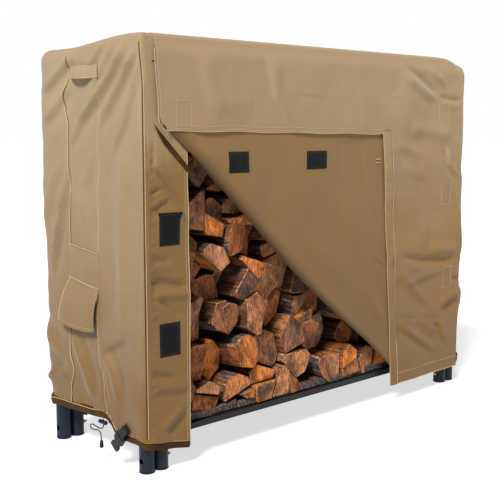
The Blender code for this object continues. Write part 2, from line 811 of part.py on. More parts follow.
def cord_lock():
    """Barrel with a blind bore, the plunger in it and the spring behind the plunger."""
    closed, mouth = -0.0560, -0.0350
    length = mouth - closed
    barrel_profile = [(0.0038, length), (0.0050, length), (0.0052, length - 0.001),
                      (0.0052, 0.001), (0.0042, 0.0), (0, 0)]
    cavity = [(0, 0.0020), (0.0038, 0.0020)]
    barrel = turned("cord_lock_barrel", cavity + barrel_profile, 14, black_plastic(),
                    along_minus_y(LOCK_X, closed, LOCK_Z))
    smooth(barrel)
    hole = rod("barrel_hole", (LOCK_X, LOCK_HOLE_Y, LOCK_Z - 0.01),
               (LOCK_X, LOCK_HOLE_Y, LOCK_Z + 0.01), 0.0019, 12, black_plastic())
    combine(barrel, hole, "DIFFERENCE")

    stem_end, head_in, head_out = -0.0484, -0.0305, -0.0280
    stem_profile = [(0, head_out - stem_end), (0.0040, head_out - stem_end),
                    (0.0048, head_out - stem_end - 0.0008), (0.0048, head_in - stem_end),
                    (0.0034, head_in - stem_end), (0.0034, 0.0), (0, 0)]
    plunger = turned("cord_lock_plunger", stem_profile, 14, black_plastic(),
                     along_minus_y(LOCK_X, stem_end, LOCK_Z))
    smooth(plunger)
    slot = box("plunger_slot", (LOCK_X - 0.0019, LOCK_HOLE_Y - 0.0019, LOCK_Z - 0.006),
               (LOCK_X + 0.0019, LOCK_HOLE_Y + 0.0019 + PLUNGER_TRAVEL, LOCK_Z + 0.006),
               black_plastic())
    combine(plunger, slot, "DIFFERENCE")

    turns, per_turn = 4, 10
    count = turns * per_turn
    start, end = -0.0533, -0.0489
    points = []
    for k in range(count + 1):
        turn = 2 * math.pi * k / per_turn
        points.append((LOCK_X + 0.0025 * math.cos(turn), start + (end - start) * k / count,
                       LOCK_Z + 0.0025 * math.sin(turn)))
    spring = tube_curve("cord_lock_spring", points, 0.0003, 1)
    curve_to_mesh(spring, zinc())


# The cord leaves the facing, drops through the lock, makes a loop and ends in the bell.
CORD_ROUTE = [(-0.6395, -0.0445, 0.1062), (-0.6395, -0.0445, 0.0990), (-0.6395, -0.0444, 0.0900),
              (-0.6396, -0.0400, 0.0825), (-0.6402, -0.0300, 0.0795), (-0.6410, -0.0160, 0.0815),
              (-0.6418, -0.0030, 0.0838), (-0.6425, 0.0055, 0.0815), (-0.6430, 0.0062, 0.0755),
              (-0.6436, -0.0020, 0.0725), (-0.6442, -0.0150, 0.0738), (-0.6446, -0.0270, 0.0755),
              (-0.6444, -0.0350, 0.0735), (-0.6438, -0.0385, 0.0670), (-0.6434, -0.0395, 0.0580),
              (-0.6432, -0.0398, 0.0460)]
BELL_TOP = 0.0520
BELL_LENGTH = 0.0190


def smooth_route(points, per_span):
    """Catmull-Rom points through the route's own points."""
    ends = [2 * Vector(points[0]) - Vector(points[1])]
    ends += [Vector(p) for p in points] + [2 * Vector(points[-1]) - Vector(points[-2])]
    made = []
    for a, b, c, d in zip(ends, ends[1:], ends[2:], ends[3:]):
        for k in range(per_span):
            t = k / per_span
            made.append(0.5 * (2 * b + (c - a) * t + (2 * a - 5 * b + 4 * c - d) * t * t
                               + (3 * b - a - 3 * c + d) * t ** 3))
    made.append(ends[-2])
    return made


def drawcord():
    cord = tube_curve("drawcord", smooth_route(CORD_ROUTE, 3), CORD_DIAMETER / 2, 2)
    curve_to_mesh(cord, black_weave())
    x, y, _ = CORD_ROUTE[-1]
    bore = CORD_DIAMETER / 2 + TOUCH
    floor = BELL_LENGTH - 0.008
    profile = [(0, floor), (bore, floor), (bore, BELL_LENGTH), (0.0030, BELL_LENGTH),
               (0.0042, BELL_LENGTH - 0.003), (0.0052, 0.004), (0.0044, 0.001), (0, 0)]
    bell = turned("cord_bell", profile, 14, black_plastic(),
                  Matrix.Translation((x, y, BELL_TOP - BELL_LENGTH)))
    smooth(bell)


def main():
    clear_scene()
    make_rack()
    make_firewood()
    make_cover_shell()
    make_front_flap()
    make_end_fittings()
    cord_lock()
    drawcord()


main()
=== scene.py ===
"""Firewood rack with its fabric cover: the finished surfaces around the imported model.

Metres, +Z up.  The front faces -Y, the length runs along X, and the floor is at z = 0.
"""

import math
import random

import bpy
from mathutils import Matrix, Vector, noise


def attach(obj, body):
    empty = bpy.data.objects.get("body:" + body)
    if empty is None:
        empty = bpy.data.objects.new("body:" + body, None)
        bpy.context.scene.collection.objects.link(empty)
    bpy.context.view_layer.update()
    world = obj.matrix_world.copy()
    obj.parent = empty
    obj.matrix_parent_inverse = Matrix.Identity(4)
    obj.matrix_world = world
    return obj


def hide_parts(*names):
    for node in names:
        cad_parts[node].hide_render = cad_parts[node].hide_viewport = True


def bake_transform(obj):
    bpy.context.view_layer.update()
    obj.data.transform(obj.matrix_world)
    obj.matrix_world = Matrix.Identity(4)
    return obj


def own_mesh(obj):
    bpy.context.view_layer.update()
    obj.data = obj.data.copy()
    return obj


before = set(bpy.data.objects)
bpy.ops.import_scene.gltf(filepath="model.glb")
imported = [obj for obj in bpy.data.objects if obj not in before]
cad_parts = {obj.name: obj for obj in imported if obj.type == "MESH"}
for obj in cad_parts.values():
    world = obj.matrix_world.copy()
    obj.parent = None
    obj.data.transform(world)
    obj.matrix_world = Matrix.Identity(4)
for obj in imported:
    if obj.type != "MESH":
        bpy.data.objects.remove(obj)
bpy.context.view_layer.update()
random.seed(53)

# ------------------------------------------------------------------ the cover's plan and heights
SIDES = {-1: "left", 1: "right"}
HALF_LENGTH = 0.640
FRONT_Y = -0.2127
BACK_Y = 0.2219
COVER_TOP = 1.018
COLUMN_EDGE_X = 0.505
COLUMN_TOP = 0.958
HEADER_BOTTOM = 0.955
CLOTH = 0.0009          # 600-denier cloth with its coating
BACK_RADIUS = 0.040
FRONT_RADIUS = {-1: 0.012, 1: 0.028}
CORNER_SEAM_X = {-1: 0.6205, 1: HALF_LENGTH - FRONT_RADIUS[1] - 0.002}
END_BACK_STOP = 0.2597                        # along an end wall, round the back corner
END_FRONT_STOP = {-1: -0.22705, 1: -0.23068}  # and round the front corner
BINDING_RADIUS = 0.0011
FINE_BINDING_RADIUS = 0.0009


def ease(value, low, high):
    """0 below low, 1 above high, smooth between."""
    t = min(1.0, max(0.0, (value - low) / (high - low)))
    return t * t * (3 - 2 * t)


def through(knots, value):
    """Read a smooth line through (position, height) knots."""
    for (a, low), (b, high) in zip(knots, knots[1:]):
        if value <= b:
            return low + (high - low) * ease(value, a, b)
    return knots[-1][1]


def spread(first, last, step):
    """Even places from first to last, about a step apart."""
    count = max(1, round(abs(last - first) / step))
    return [first + (last - first) * k / count for k in range(count + 1)]


def parts(count):
    """Even steps from 0 to 1."""
    return [k / count for k in range(count + 1)]


def top_height(x, y):
    """The cover's top slopes to the back and drops over its right front corner."""
    fall = 0.016 * ease(y, -0.16, 0.06) + 0.006 * ease(x, 0.46, 0.62)
    corner = 0.016 * ease(x, 0.52, 0.64) * (1 - ease(y, FRONT_Y, -0.12))
    return COVER_TOP - fall - corner


def roll_over(x, y):
    """Radius of the rounding where a wall turns onto the top."""
    return 0.009 + max(0.021 * ease(y, 0.0, 0.12), 0.016 * ease(x, 0.50, 0.60))


def hem_height(x, y):
    """The hem hangs low across the front and arches up over the feet of each end."""
    if y < FRONT_Y + 0.002:
        return through([(-HALF_LENGTH, 0.084), (-0.580, 0.074), (-0.500, 0.062),
                        (0.500, 0.062), (0.580, 0.070), (HALF_LENGTH, 0.084)], x)
    if y > BACK_Y - 0.002:
        return 0.112
    return through([(FRONT_Y, 0.084), (-0.162, 0.088), (-0.100, 0.088), (-0.064, 0.118),
                    (-0.040, 0.123), (0.030, 0.117), (0.110, 0.115), (BACK_Y, 0.112)], y)


# ------------------------------------------------------------------ colour and node helpers
def paint(code):
    """An sRGB hex colour as linear RGBA."""
    tones = [int(code[k:k + 2], 16) / 255 for k in (1, 3, 5)]
    linear = [t / 12.92 if t <= 0.04045 else ((t + 0.055) / 1.055) ** 2.4 for t in tones]
    return (*linear, 1.0)


def add(tree, kind, inputs=None, **settings):
    """Add a node with its settings; an input is a value or a (node, output) pair."""
    made = tree.nodes.new(kind)
    for name, value in settings.items():
        setattr(made, name, value)
    for name, value in (inputs or {}).items():
        if isinstance(value, tuple) and isinstance(value[0], bpy.types.Node):
            tree.links.new(value[0].outputs[value[1]], made.inputs[name])
        else:
            made.inputs[name].default_value = value
    return made


def new_finish(name, **sockets):
    """A material with its shader's sockets set; returns the material, its tree and shader."""
    made = bpy.data.materials.new(name)
    made.use_nodes = True
    shader = made.node_tree.nodes["Principled BSDF"]
    for socket, value in sockets.items():
        shader.inputs[socket.replace("_", " ")].default_value = value
    return made, made.node_tree, shader


def connect(tree, source, output, target, socket):
    tree.links.new(source.outputs[output], target.inputs[socket])


def wave_scale(pitch):
    """The Wave texture repeats every 0.314 units at scale 1."""
    return 0.314 / pitch


# ------------------------------------------------------------------ finishes
def oxford_canvas(name, high, middle, low, levels=(0.12, 0.50, 0.92)):
    """600-denier polyester oxford, piece-dyed tan, with a soft satin from its coating.

    The real threads lie 0.5 mm apart and are drawn at 1.1 mm so that they show.
    Handling leaves broad, faint patches. The colour ramp on height is painted light: the cloth is
    paler high up and darker towards the hem, as the light falls.
    Cloth near the door's rolled edge, marked by a point attribute, takes a painted shade of deep
    brown.
    """
    made, tree, shader = new_finish(name, Roughness=0.62, Sheen_Weight=0.12,
                                    Sheen_Roughness=0.5, Specular_IOR_Level=0.28)
    place = add(tree, "ShaderNodeTexCoord")
    warp = add(tree, "ShaderNodeTexWave", {"Vector": (place, "UV"), "Scale": wave_scale(0.0011),
                                           "Distortion": 0.4}, bands_direction="X")
    weft = add(tree, "ShaderNodeTexWave", {"Vector": (place, "UV"), "Scale": wave_scale(0.0011),
                                           "Distortion": 0.4}, bands_direction="Y")
    threads = add(tree, "ShaderNodeMath", {0: (warp, "Fac"), 1: (weft, "Fac")},
                  operation="MULTIPLY")
    slubs = add(tree, "ShaderNodeTexNoise", {"Vector": (place, "Object"), "Scale": 320.0,
                                             "Detail": 2.0})
    patches = add(tree, "ShaderNodeTexNoise", {"Vector": (place, "Object"), "Scale": 7.0,
                                               "Detail": 4.0, "Roughness": 0.6})
    soft = add(tree, "ShaderNodeMapRange", {"Value": (patches, "Fac"), "From Min": 0.34,
                                            "From Max": 0.66, "To Min": -0.05, "To Max": 0.05})
    # Painted light: the tone ramp below runs on height, paler high up and darker low down.
    split = add(tree, "ShaderNodeSeparateXYZ", {"Vector": (place, "Object")})
    uneven = add(tree, "ShaderNodeMath", {0: (split, "Z"), 1: (soft, "Result")},
                 operation="ADD")
    height = add(tree, "ShaderNodeValToRGB", {"Fac": (uneven, "Value")})
    stops = height.color_ramp.elements
    stops.new(0.5)
    for stop, (position, code) in zip(stops, zip(levels, (low, middle, high))):
        stop.position = position
        stop.color = paint(code)
    # Painted shade along the door's rolled edge, read from the door's point attribute.
    turned = add(tree, "ShaderNodeAttribute", attribute_name="turned_under")
    roll_shaded = add(tree, "ShaderNodeMix", {0: (turned, "Fac"), 6: (height, "Color"),
                                          7: paint("#4A2E08")}, data_type="RGBA")
    grain = add(tree, "ShaderNodeMapRange", {"Value": (slubs, "Fac"), "To Min": 0.93,
                                             "To Max": 1.07})
    cross = add(tree, "ShaderNodeMapRange", {"Value": (threads, "Value"), "To Min": 0.94,
                                             "To Max": 1.04})
    both = add(tree, "ShaderNodeMath", {0: (grain, "Result"), 1: (cross, "Result")},
               operation="MULTIPLY")
    colour = add(tree, "ShaderNodeMix", {0: 1.0, 6: (roll_shaded, 2), 7: (both, "Value")},
                 data_type="RGBA", blend_type="MULTIPLY")
    connect(tree, colour, 2, shader, "Base Color")
    relief = add(tree, "ShaderNodeMath", {0: (threads, "Value"), 1: (slubs, "Fac")},
                 operation="ADD")
    bump = add(tree, "ShaderNodeBump", {"Height": (relief, "Value"), "Strength": 0.35,
                                        "Distance": 0.0004})
    connect(tree, bump, "Normal", shader, "Normal")
    return made


def brown_backing():
    """The dark brown waterproof coating on the inside of the cloth, and the facing cut from it.

    Rolled-on polyurethane: even, slightly shiny, with a faint leathery grain of about 2 mm.
    """
    made, tree, shader = new_finish("brown_coated_backing", Roughness=0.65,
                                    Specular_IOR_Level=0.12)
    place = add(tree, "ShaderNodeTexCoord")
    pores = add(tree, "ShaderNodeTexNoise", {"Vector": (place, "Object"), "Scale": 420.0,
                                             "Detail": 3.0})
    clouds = add(tree, "ShaderNodeTexNoise", {"Vector": (place, "Object"), "Scale": 22.0,
                                              "Detail": 3.0})
    mixed = add(tree, "ShaderNodeMath", {0: (pores, "Fac"), 1: (clouds, "Fac")},
                operation="MULTIPLY")
    tone = add(tree, "ShaderNodeMapRange", {"Value": (mixed, "Value"), "From Min": 0.15,
                                            "From Max": 0.36})
    colour = add(tree, "ShaderNodeMix", {0: (tone, "Result"), 6: paint("#2A1702"),
                                         7: paint("#442A05")}, data_type="RGBA")
    connect(tree, colour, 2, shader, "Base Color")
    bump = add(tree, "ShaderNodeBump", {"Height": (pores, "Fac"), "Strength": 0.3,
                                        "Distance": 0.0005})
    connect(tree, bump, "Normal", shader, "Normal")
    return made


def sewing_thread():
    """Bonded polyester thread, paler than the cloth, with a twist every 1.2 mm."""
    made, tree, shader = new_finish("pale_sewing_thread", Roughness=0.5, Sheen_Weight=0.2)
    place = add(tree, "ShaderNodeTexCoord")
    twist = add(tree, "ShaderNodeTexWave", {"Vector": (place, "Object"),
                                            "Scale": wave_scale(0.0012), "Distortion": 1.0},
                bands_direction="DIAGONAL")
    colour = add(tree, "ShaderNodeMix", {0: (twist, "Fac"), 6: paint("#A38C66"),
                                         7: paint("#C4AF8A")}, data_type="RGBA")
    connect(tree, colour, 2, shader, "Base Color")
    return made


def edge_binding():
    """The folded cloth edge along a seam, painted paler than the panels beside it: a painted
    highlight where the fold catches the light.
    """
    made, tree, shader = new_finish("pale_edge_binding_painted_highlight", Roughness=0.6, Sheen_Weight=0.15)
    place = add(tree, "ShaderNodeTexCoord")
    # The noise only mottles the pale tone of the painted highlight.
    wear = add(tree, "ShaderNodeTexNoise", {"Vector": (place, "Object"), "Scale": 60.0,
                                            "Detail": 4.0})
    colour = add(tree, "ShaderNodeMix", {0: (wear, "Fac"), 6: paint("#8C7450"),
                                         7: paint("#AA9470")}, data_type="RGBA")
    connect(tree, colour, 2, shader, "Base Color")
    ribs = add(tree, "ShaderNodeTexNoise", {"Vector": (place, "Object"), "Scale": 700.0})
    bump = add(tree, "ShaderNodeBump", {"Height": (ribs, "Fac"), "Strength": 0.4,
                                        "Distance": 0.0004})
    connect(tree, bump, "Normal", shader, "Normal")
    return made


def loop_tape():
    """Black nylon loop tape: a matt pile of loops about 1 mm across, greyer where rubbed."""
    made, tree, shader = new_finish("black_loop_tape", Roughness=0.95, Sheen_Weight=0.06,
                                    Specular_IOR_Level=0.1)
    place = add(tree, "ShaderNodeTexCoord")
    pile = add(tree, "ShaderNodeTexVoronoi", {"Vector": (place, "Object"), "Scale": 900.0})
    rub = add(tree, "ShaderNodeTexNoise", {"Vector": (place, "Object"), "Scale": 90.0,
                                           "Detail": 4.0})
    colour = add(tree, "ShaderNodeMix", {0: (rub, "Fac"), 6: paint("#040405"),
                                         7: paint("#0D0E10")}, data_type="RGBA")
    connect(tree, colour, 2, shader, "Base Color")
    bump = add(tree, "ShaderNodeBump", {"Height": (pile, "Distance"), "Strength": 0.8,
                                        "Distance": 0.001})
    connect(tree, bump, "Normal", shader, "Normal")
    return made


def webbing():
    """Black polypropylene webbing: flat ribs every 1.5 mm along it, crossed by a fine weft."""
    made, tree, shader = new_finish("black_ribbed_webbing", Roughness=0.6,
                                    Specular_IOR_Level=0.35)
    place = add(tree, "ShaderNodeTexCoord")
    ribs = add(tree, "ShaderNodeTexWave", {"Vector": (place, "UV"),
                                           "Scale": wave_scale(0.0015)}, bands_direction="X")
    weft = add(tree, "ShaderNodeTexWave", {"Vector": (place, "UV"),
                                           "Scale": wave_scale(0.0022)}, bands_direction="Y")
    weave = add(tree, "ShaderNodeMath", {0: (ribs, "Fac"), 1: (weft, "Fac")},
                operation="MULTIPLY")
    colour = add(tree, "ShaderNodeMix", {0: (weave, "Value"), 6: paint("#050506"),
                                         7: paint("#141518")}, data_type="RGBA")
    connect(tree, colour, 2, shader, "Base Color")
    bump = add(tree, "ShaderNodeBump", {"Height": (weave, "Value"), "Strength": 0.7,
                                        "Distance": 0.0006})
    connect(tree, bump, "Normal", shader, "Normal")
    return made


def braided_cord():
    """Black polyester accessory cord, braided, with a lay of about 2 mm."""
    made, tree, shader = new_finish("black_braided_cord", Roughness=0.7)
    place = add(tree, "ShaderNodeTexCoord")
    braid = add(tree, "ShaderNodeTexVoronoi", {"Vector": (place, "Object"), "Scale": 600.0})
    colour = add(tree, "ShaderNodeMix", {0: (braid, "Distance"), 6: paint("#08080A"),
                                         7: paint("#1C1D20")}, data_type="RGBA")
    connect(tree, colour, 2, shader, "Base Color")
    bump = add(tree, "ShaderNodeBump", {"Height": (braid, "Distance"), "Strength": 0.7,
                                        "Distance": 0.0006})
    connect(tree, bump, "Normal", shader, "Normal")
    return made


def moulded_plastic(name, deep, pale, roughness):
    """Injection-moulded acetal or polyethylene with a fine spark-eroded texture."""
    made, tree, shader = new_finish(name, IOR=1.49, Specular_IOR_Level=0.3)
    place = add(tree, "ShaderNodeTexCoord")
    spark = add(tree, "ShaderNodeTexNoise", {"Vector": (place, "Object"), "Scale": 900.0,
                                             "Detail": 2.0})
    scuff = add(tree, "ShaderNodeTexNoise", {"Vector": (place, "Object"), "Scale": 45.0,
                                             "Detail": 5.0, "Roughness": 0.7})
    colour = add(tree, "ShaderNodeMix", {0: (scuff, "Fac"), 6: paint(deep), 7: paint(pale)},
                 data_type="RGBA")
    gloss = add(tree, "ShaderNodeMapRange", {"Value": (scuff, "Fac"), "To Min": roughness - 0.1,
                                             "To Max": roughness + 0.12})
    connect(tree, colour, 2, shader, "Base Color")
    connect(tree, gloss, "Result", shader, "Roughness")
    bump = add(tree, "ShaderNodeBump", {"Height": (spark, "Fac"), "Strength": 0.15,
                                        "Distance": 0.0003})
    connect(tree, bump, "Normal", shader, "Normal")
    return made


def powder_coat(name, deep, pale):
    """Polyester powder coat on steel tube: satin, with an orange-peel of about 3 mm."""
    made, tree, shader = new_finish(name, IOR=1.5, Specular_IOR_Level=0.2, Coat_Weight=0.04,
                                    Coat_Roughness=0.3)
    place = add(tree, "ShaderNodeTexCoord")
    peel = add(tree, "ShaderNodeTexNoise", {"Vector": (place, "Object"), "Scale": 330.0,
                                            "Detail": 1.0})
    dust = add(tree, "ShaderNodeTexNoise", {"Vector": (place, "Object"), "Scale": 30.0,
                                            "Detail": 5.0, "Roughness": 0.65})
    colour = add(tree, "ShaderNodeMix", {0: (dust, "Fac"), 6: paint(deep), 7: paint(pale)},
                 data_type="RGBA")
    gloss = add(tree, "ShaderNodeMapRange", {"Value": (dust, "Fac"), "To Min": 0.3,
                                             "To Max": 0.5})
    connect(tree, colour, 2, shader, "Base Color")
    connect(tree, gloss, "Result", shader, "Roughness")
    bump = add(tree, "ShaderNodeBump", {"Height": (peel, "Fac"), "Strength": 0.12,
                                        "Distance": 0.0006})
    connect(tree, bump, "Normal", shader, "Normal")
    return made


def zinc_plate():
    """Bright zinc plating on the bolts and the spring, slightly hazed."""
    made, tree, shader = new_finish("bright_zinc_plate", Metallic=1.0)
    place = add(tree, "ShaderNodeTexCoord")
    haze = add(tree, "ShaderNodeTexNoise", {"Vector": (place, "Object"), "Scale": 500.0,
                                            "Detail": 4.0})
    colour = add(tree, "ShaderNodeMix", {0: (haze, "Fac"), 6: paint("#A8ABB0"),
                                         7: paint("#DDE0E4")}, data_type="RGBA")
    gloss = add(tree, "ShaderNodeMapRange", {"Value": (haze, "Fac"), "To Min": 0.22,
                                             "To Max": 0.45})
    connect(tree, colour, 2, shader, "Base Color")
    connect(tree, gloss, "Result", shader, "Roughness")
    return made


def log_coordinates(tree):
    """Object coordinates moved by each log's own number, so that no two logs match."""
    place = add(tree, "ShaderNodeTexCoord")
    own = add(tree, "ShaderNodeAttribute", attribute_name="log_tone")
    shift = add(tree, "ShaderNodeVectorMath", {0: (own, "Vector"), 1: (37.0, 0.0, 19.0)},
                operation="MULTIPLY")
    moved = add(tree, "ShaderNodeVectorMath", {0: (place, "Object"), 1: (shift, "Vector")},
                operation="ADD")
    return moved, own


def wood_palette(tree, own, codes):
    """Each log's own number picks its tone from the row of wood colours."""
    ramp = add(tree, "ShaderNodeValToRGB", {"Fac": (own, "Fac")})
    stops = ramp.color_ramp.elements
    while len(stops) < len(codes):
        stops.new(0.5)
    for k, code in enumerate(codes):
        stops[k].position = k / (len(codes) - 1)
        stops[k].color = paint(code)
    return ramp


def split_face():
    """Riven hardwood along the grain: torn fibres 2 to 4 mm across, darker in the hollows."""
    made, tree, shader = new_finish("riven_hardwood_face", Roughness=0.75,
                                    Specular_IOR_Level=0.3)
    moved, own = log_coordinates(tree)
    along = add(tree, "ShaderNodeMapping", {"Vector": (moved, "Vector"),
                                            "Scale": (1.0, 0.07, 1.0)})
    fibre = add(tree, "ShaderNodeTexNoise", {"Vector": (along, "Vector"), "Scale": 240.0,
                                             "Detail": 6.0, "Roughness": 0.7})
    stain = add(tree, "ShaderNodeTexNoise", {"Vector": (moved, "Vector"), "Scale": 26.0,
                                             "Detail": 5.0, "Roughness": 0.65})
    tones = wood_palette(tree, own, ["#3E2218", "#8A4A22", "#4E3224", "#B06A2A", "#5E3A28",
                                     "#8E6038", "#3A2622"])
    streak = add(tree, "ShaderNodeMapRange", {"Value": (fibre, "Fac"), "From Min": 0.38,
                                              "From Max": 0.66, "To Min": 0.25, "To Max": 1.55})
    blotch = add(tree, "ShaderNodeMapRange", {"Value": (stain, "Fac"), "From Min": 0.35,
                                              "From Max": 0.65, "To Min": 0.30, "To Max": 1.55})
    both = add(tree, "ShaderNodeMath", {0: (streak, "Result"), 1: (blotch, "Result")},
               operation="MULTIPLY")
    colour = add(tree, "ShaderNodeMix", {0: 1.0, 6: (tones, "Color"), 7: (both, "Value")},
                 data_type="RGBA", blend_type="MULTIPLY")
    connect(tree, colour, 2, shader, "Base Color")
    bump = add(tree, "ShaderNodeBump", {"Height": (fibre, "Fac"), "Strength": 0.9,
                                        "Distance": 0.003})
    connect(tree, bump, "Normal", shader, "Normal")
    return made


def sawn_end():
    """End grain from a chain saw: growth rings 3 mm apart under coarse, torn cross-marks."""
    made, tree, shader = new_finish("chain_sawn_end_grain", Roughness=0.8,
                                    Specular_IOR_Level=0.25)
    moved, own = log_coordinates(tree)
    place = add(tree, "ShaderNodeTexCoord")
    rings = add(tree, "ShaderNodeTexWave", {"Vector": (place, "UV"), "Scale": wave_scale(0.0042),
                                            "Distortion": 2.2, "Detail": 2.0,
                                            "Detail Scale": 1.5},
                wave_type="RINGS", rings_direction="Z")
    turn = add(tree, "ShaderNodeMapping", {"Vector": (moved, "Vector"), "Rotation": (0, 0.6, 0),
                                           "Scale": (1.0, 1.0, 0.22)})
    marks = add(tree, "ShaderNodeTexNoise", {"Vector": (turn, "Vector"), "Scale": 300.0,
                                             "Detail": 5.0, "Roughness": 0.75})
    stain = add(tree, "ShaderNodeTexNoise", {"Vector": (moved, "Vector"), "Scale": 20.0,
                                             "Detail": 4.0, "Roughness": 0.6})
    tones = wood_palette(tree, own, ["#7A4528", "#C06E2A", "#8A5236", "#A8724E", "#5E4034",
                                     "#B0642C", "#8C7058"])
    ring = add(tree, "ShaderNodeMapRange", {"Value": (rings, "Fac"), "To Min": 0.72,
                                            "To Max": 1.08})
    cuts = add(tree, "ShaderNodeMapRange", {"Value": (marks, "Fac"), "From Min": 0.36,
                                            "From Max": 0.62, "To Min": 0.18, "To Max": 1.65})
    both = add(tree, "ShaderNodeMath", {0: (ring, "Result"), 1: (cuts, "Result")},
               operation="MULTIPLY")
    blotch = add(tree, "ShaderNodeMapRange", {"Value": (stain, "Fac"), "From Min": 0.36,
                                              "From Max": 0.66, "To Min": 0.32, "To Max": 1.5})
    all_three = add(tree, "ShaderNodeMath", {0: (both, "Value"), 1: (blotch, "Result")},
                    operation="MULTIPLY")
    colour = add(tree, "ShaderNodeMix", {0: 1.0, 6: (tones, "Color"), 7: (all_three, "Value")},
                 data_type="RGBA", blend_type="MULTIPLY")
    connect(tree, colour, 2, shader, "Base Color")
    bump = add(tree, "ShaderNodeBump", {"Height": (marks, "Fac"), "Strength": 0.9,
                                        "Distance": 0.0025})
    connect(tree, bump, "Normal", shader, "Normal")
    return made


def log_bark():
    """Weathered bark: purple-brown plates 10 to 20 mm wide with dark furrows along the log."""
    made, tree, shader = new_finish("furrowed_bark", Roughness=0.6, Specular_IOR_Level=0.4)
    moved, _ = log_coordinates(tree)
    along = add(tree, "ShaderNodeMapping", {"Vector": (moved, "Vector"),
                                            "Scale": (1.0, 0.25, 1.0)})
    plates = add(tree, "ShaderNodeTexVoronoi", {"Vector": (along, "Vector"), "Scale": 75.0},
                 feature="DISTANCE_TO_EDGE")
    grit = add(tree, "ShaderNodeTexNoise", {"Vector": (moved, "Vector"), "Scale": 170.0,
                                            "Detail": 6.0, "Roughness": 0.7})
    furrow = add(tree, "ShaderNodeMapRange", {"Value": (plates, "Distance"), "From Max": 0.18,
                                              "To Min": 0.2, "To Max": 1.0})
    rough = add(tree, "ShaderNodeMath", {0: (furrow, "Result"), 1: (grit, "Fac")},
                operation="MULTIPLY")
    colour = add(tree, "ShaderNodeMix", {0: (rough, "Value"), 6: paint("#150E0D"),
                                         7: paint("#7C6660")}, data_type="RGBA")
    connect(tree, colour, 2, shader, "Base Color")
    bump = add(tree, "ShaderNodeBump", {"Height": (rough, "Value"), "Strength": 1.0,
                                        "Distance": 0.005})
    connect(tree, bump, "Normal", shader, "Normal")
    return made


def fibre_and_highlight_edge():
    """The bevelled edges of the splits: partly raw, paler fibres standing up 1 or 2 mm, partly a
    painted highlight where the edges catch the light.
    """
    made, tree, shader = new_finish("splintered_edge_and_highlight", Roughness=0.8,
                                    Specular_IOR_Level=0.2)
    moved, _ = log_coordinates(tree)
    shreds = add(tree, "ShaderNodeTexNoise", {"Vector": (moved, "Vector"), "Scale": 150.0,
                                              "Detail": 5.0, "Roughness": 0.7})
    paler_fibre_and_highlight = add(tree, "ShaderNodeMapRange", {"Value": (shreds, "Fac"), "From Min": 0.42,
                                            "From Max": 0.66})
    colour = add(tree, "ShaderNodeMix", {0: (paler_fibre_and_highlight, "Result"), 6: paint("#4A2A18"),
                                         7: paint("#C08A56")}, data_type="RGBA")
    connect(tree, colour, 2, shader, "Base Color")
    return made


def vent_mesh_cloth():
    """Black knitted vent mesh: holes 2.5 mm apart, drawn as dark dots in a grey knit."""
    made, tree, shader = new_finish("black_vent_mesh", Roughness=0.8)
    place = add(tree, "ShaderNodeTexCoord")
    holes = add(tree, "ShaderNodeTexVoronoi", {"Vector": (place, "Object"), "Scale": 400.0,
                                               "Randomness": 0.0})
    colour = add(tree, "ShaderNodeMix", {0: (holes, "Distance"), 6: paint("#050505"),
                                         7: paint("#3A3A3C")}, data_type="RGBA")
    connect(tree, colour, 2, shader, "Base Color")
    return made


def pale_floor():
    """A backlit white acrylic studio floor, matt, with the faintest mottle."""
    made, tree, shader = new_finish("white_studio_floor", Roughness=0.9, Specular_IOR_Level=0.1,
                                    Emission_Color=(1.0, 1.0, 1.0, 1.0), Emission_Strength=0.66)
    place = add(tree, "ShaderNodeTexCoord")
    mottle = add(tree, "ShaderNodeTexNoise", {"Vector": (place, "Object"), "Scale": 3.0})
    colour = add(tree, "ShaderNodeMix", {0: (mottle, "Fac"), 6: paint("#A4A4A4"),
                                         7: paint("#AAAAAA")}, data_type="RGBA")
    connect(tree, colour, 2, shader, "Base Color")
    return made


# ------------------------------------------------------------------ making pieces
def fresh():
    """Leave edit mode with nothing selected."""
    if bpy.context.object and bpy.context.object.mode != "OBJECT":
        bpy.ops.object.mode_set(mode="OBJECT")
    bpy.ops.object.select_all(action="DESELECT")


def pick(piece):
    """Select this piece alone and make it the active one."""
    fresh()
    bpy.context.view_layer.objects.active = piece
    piece.select_set(True)


def apply_step(piece, kind, **settings):
    """Add a modifier to the piece and apply it."""
    pick(piece)
    step = piece.modifiers.new(kind.lower(), kind)
    for name, value in settings.items():
        setattr(step, name, value)
    bpy.ops.object.modifier_apply(modifier=step.name)


def smooth(piece, degrees):
    """Shade the piece smooth except across edges sharper than the angle."""
    pick(piece)
    bpy.ops.object.shade_smooth_by_angle(angle=math.radians(degrees))


def face_outwards(piece, merge=0.0):
    """Close the piece's loose seams, if it has any, and turn every face outwards."""
    pick(piece)
    bpy.ops.object.mode_set(mode="EDIT")
    bpy.ops.mesh.select_all(action="SELECT")
    if merge:
        bpy.ops.mesh.remove_doubles(threshold=merge)
    bpy.ops.mesh.normals_make_consistent(inside=False)
    bpy.ops.object.mode_set(mode="OBJECT")


def finish_with(piece, *materials):
    piece.data.materials.clear()
    for made in materials:
        piece.data.materials.append(made)


def ahead(_):
    """The right side of the front's cloth faces the front."""
    return Vector((0, -1, 0))


def sideways(sign):
    """The right side of an end's cloth faces away from the rack."""
    return lambda _: Vector((sign, 0, 0))


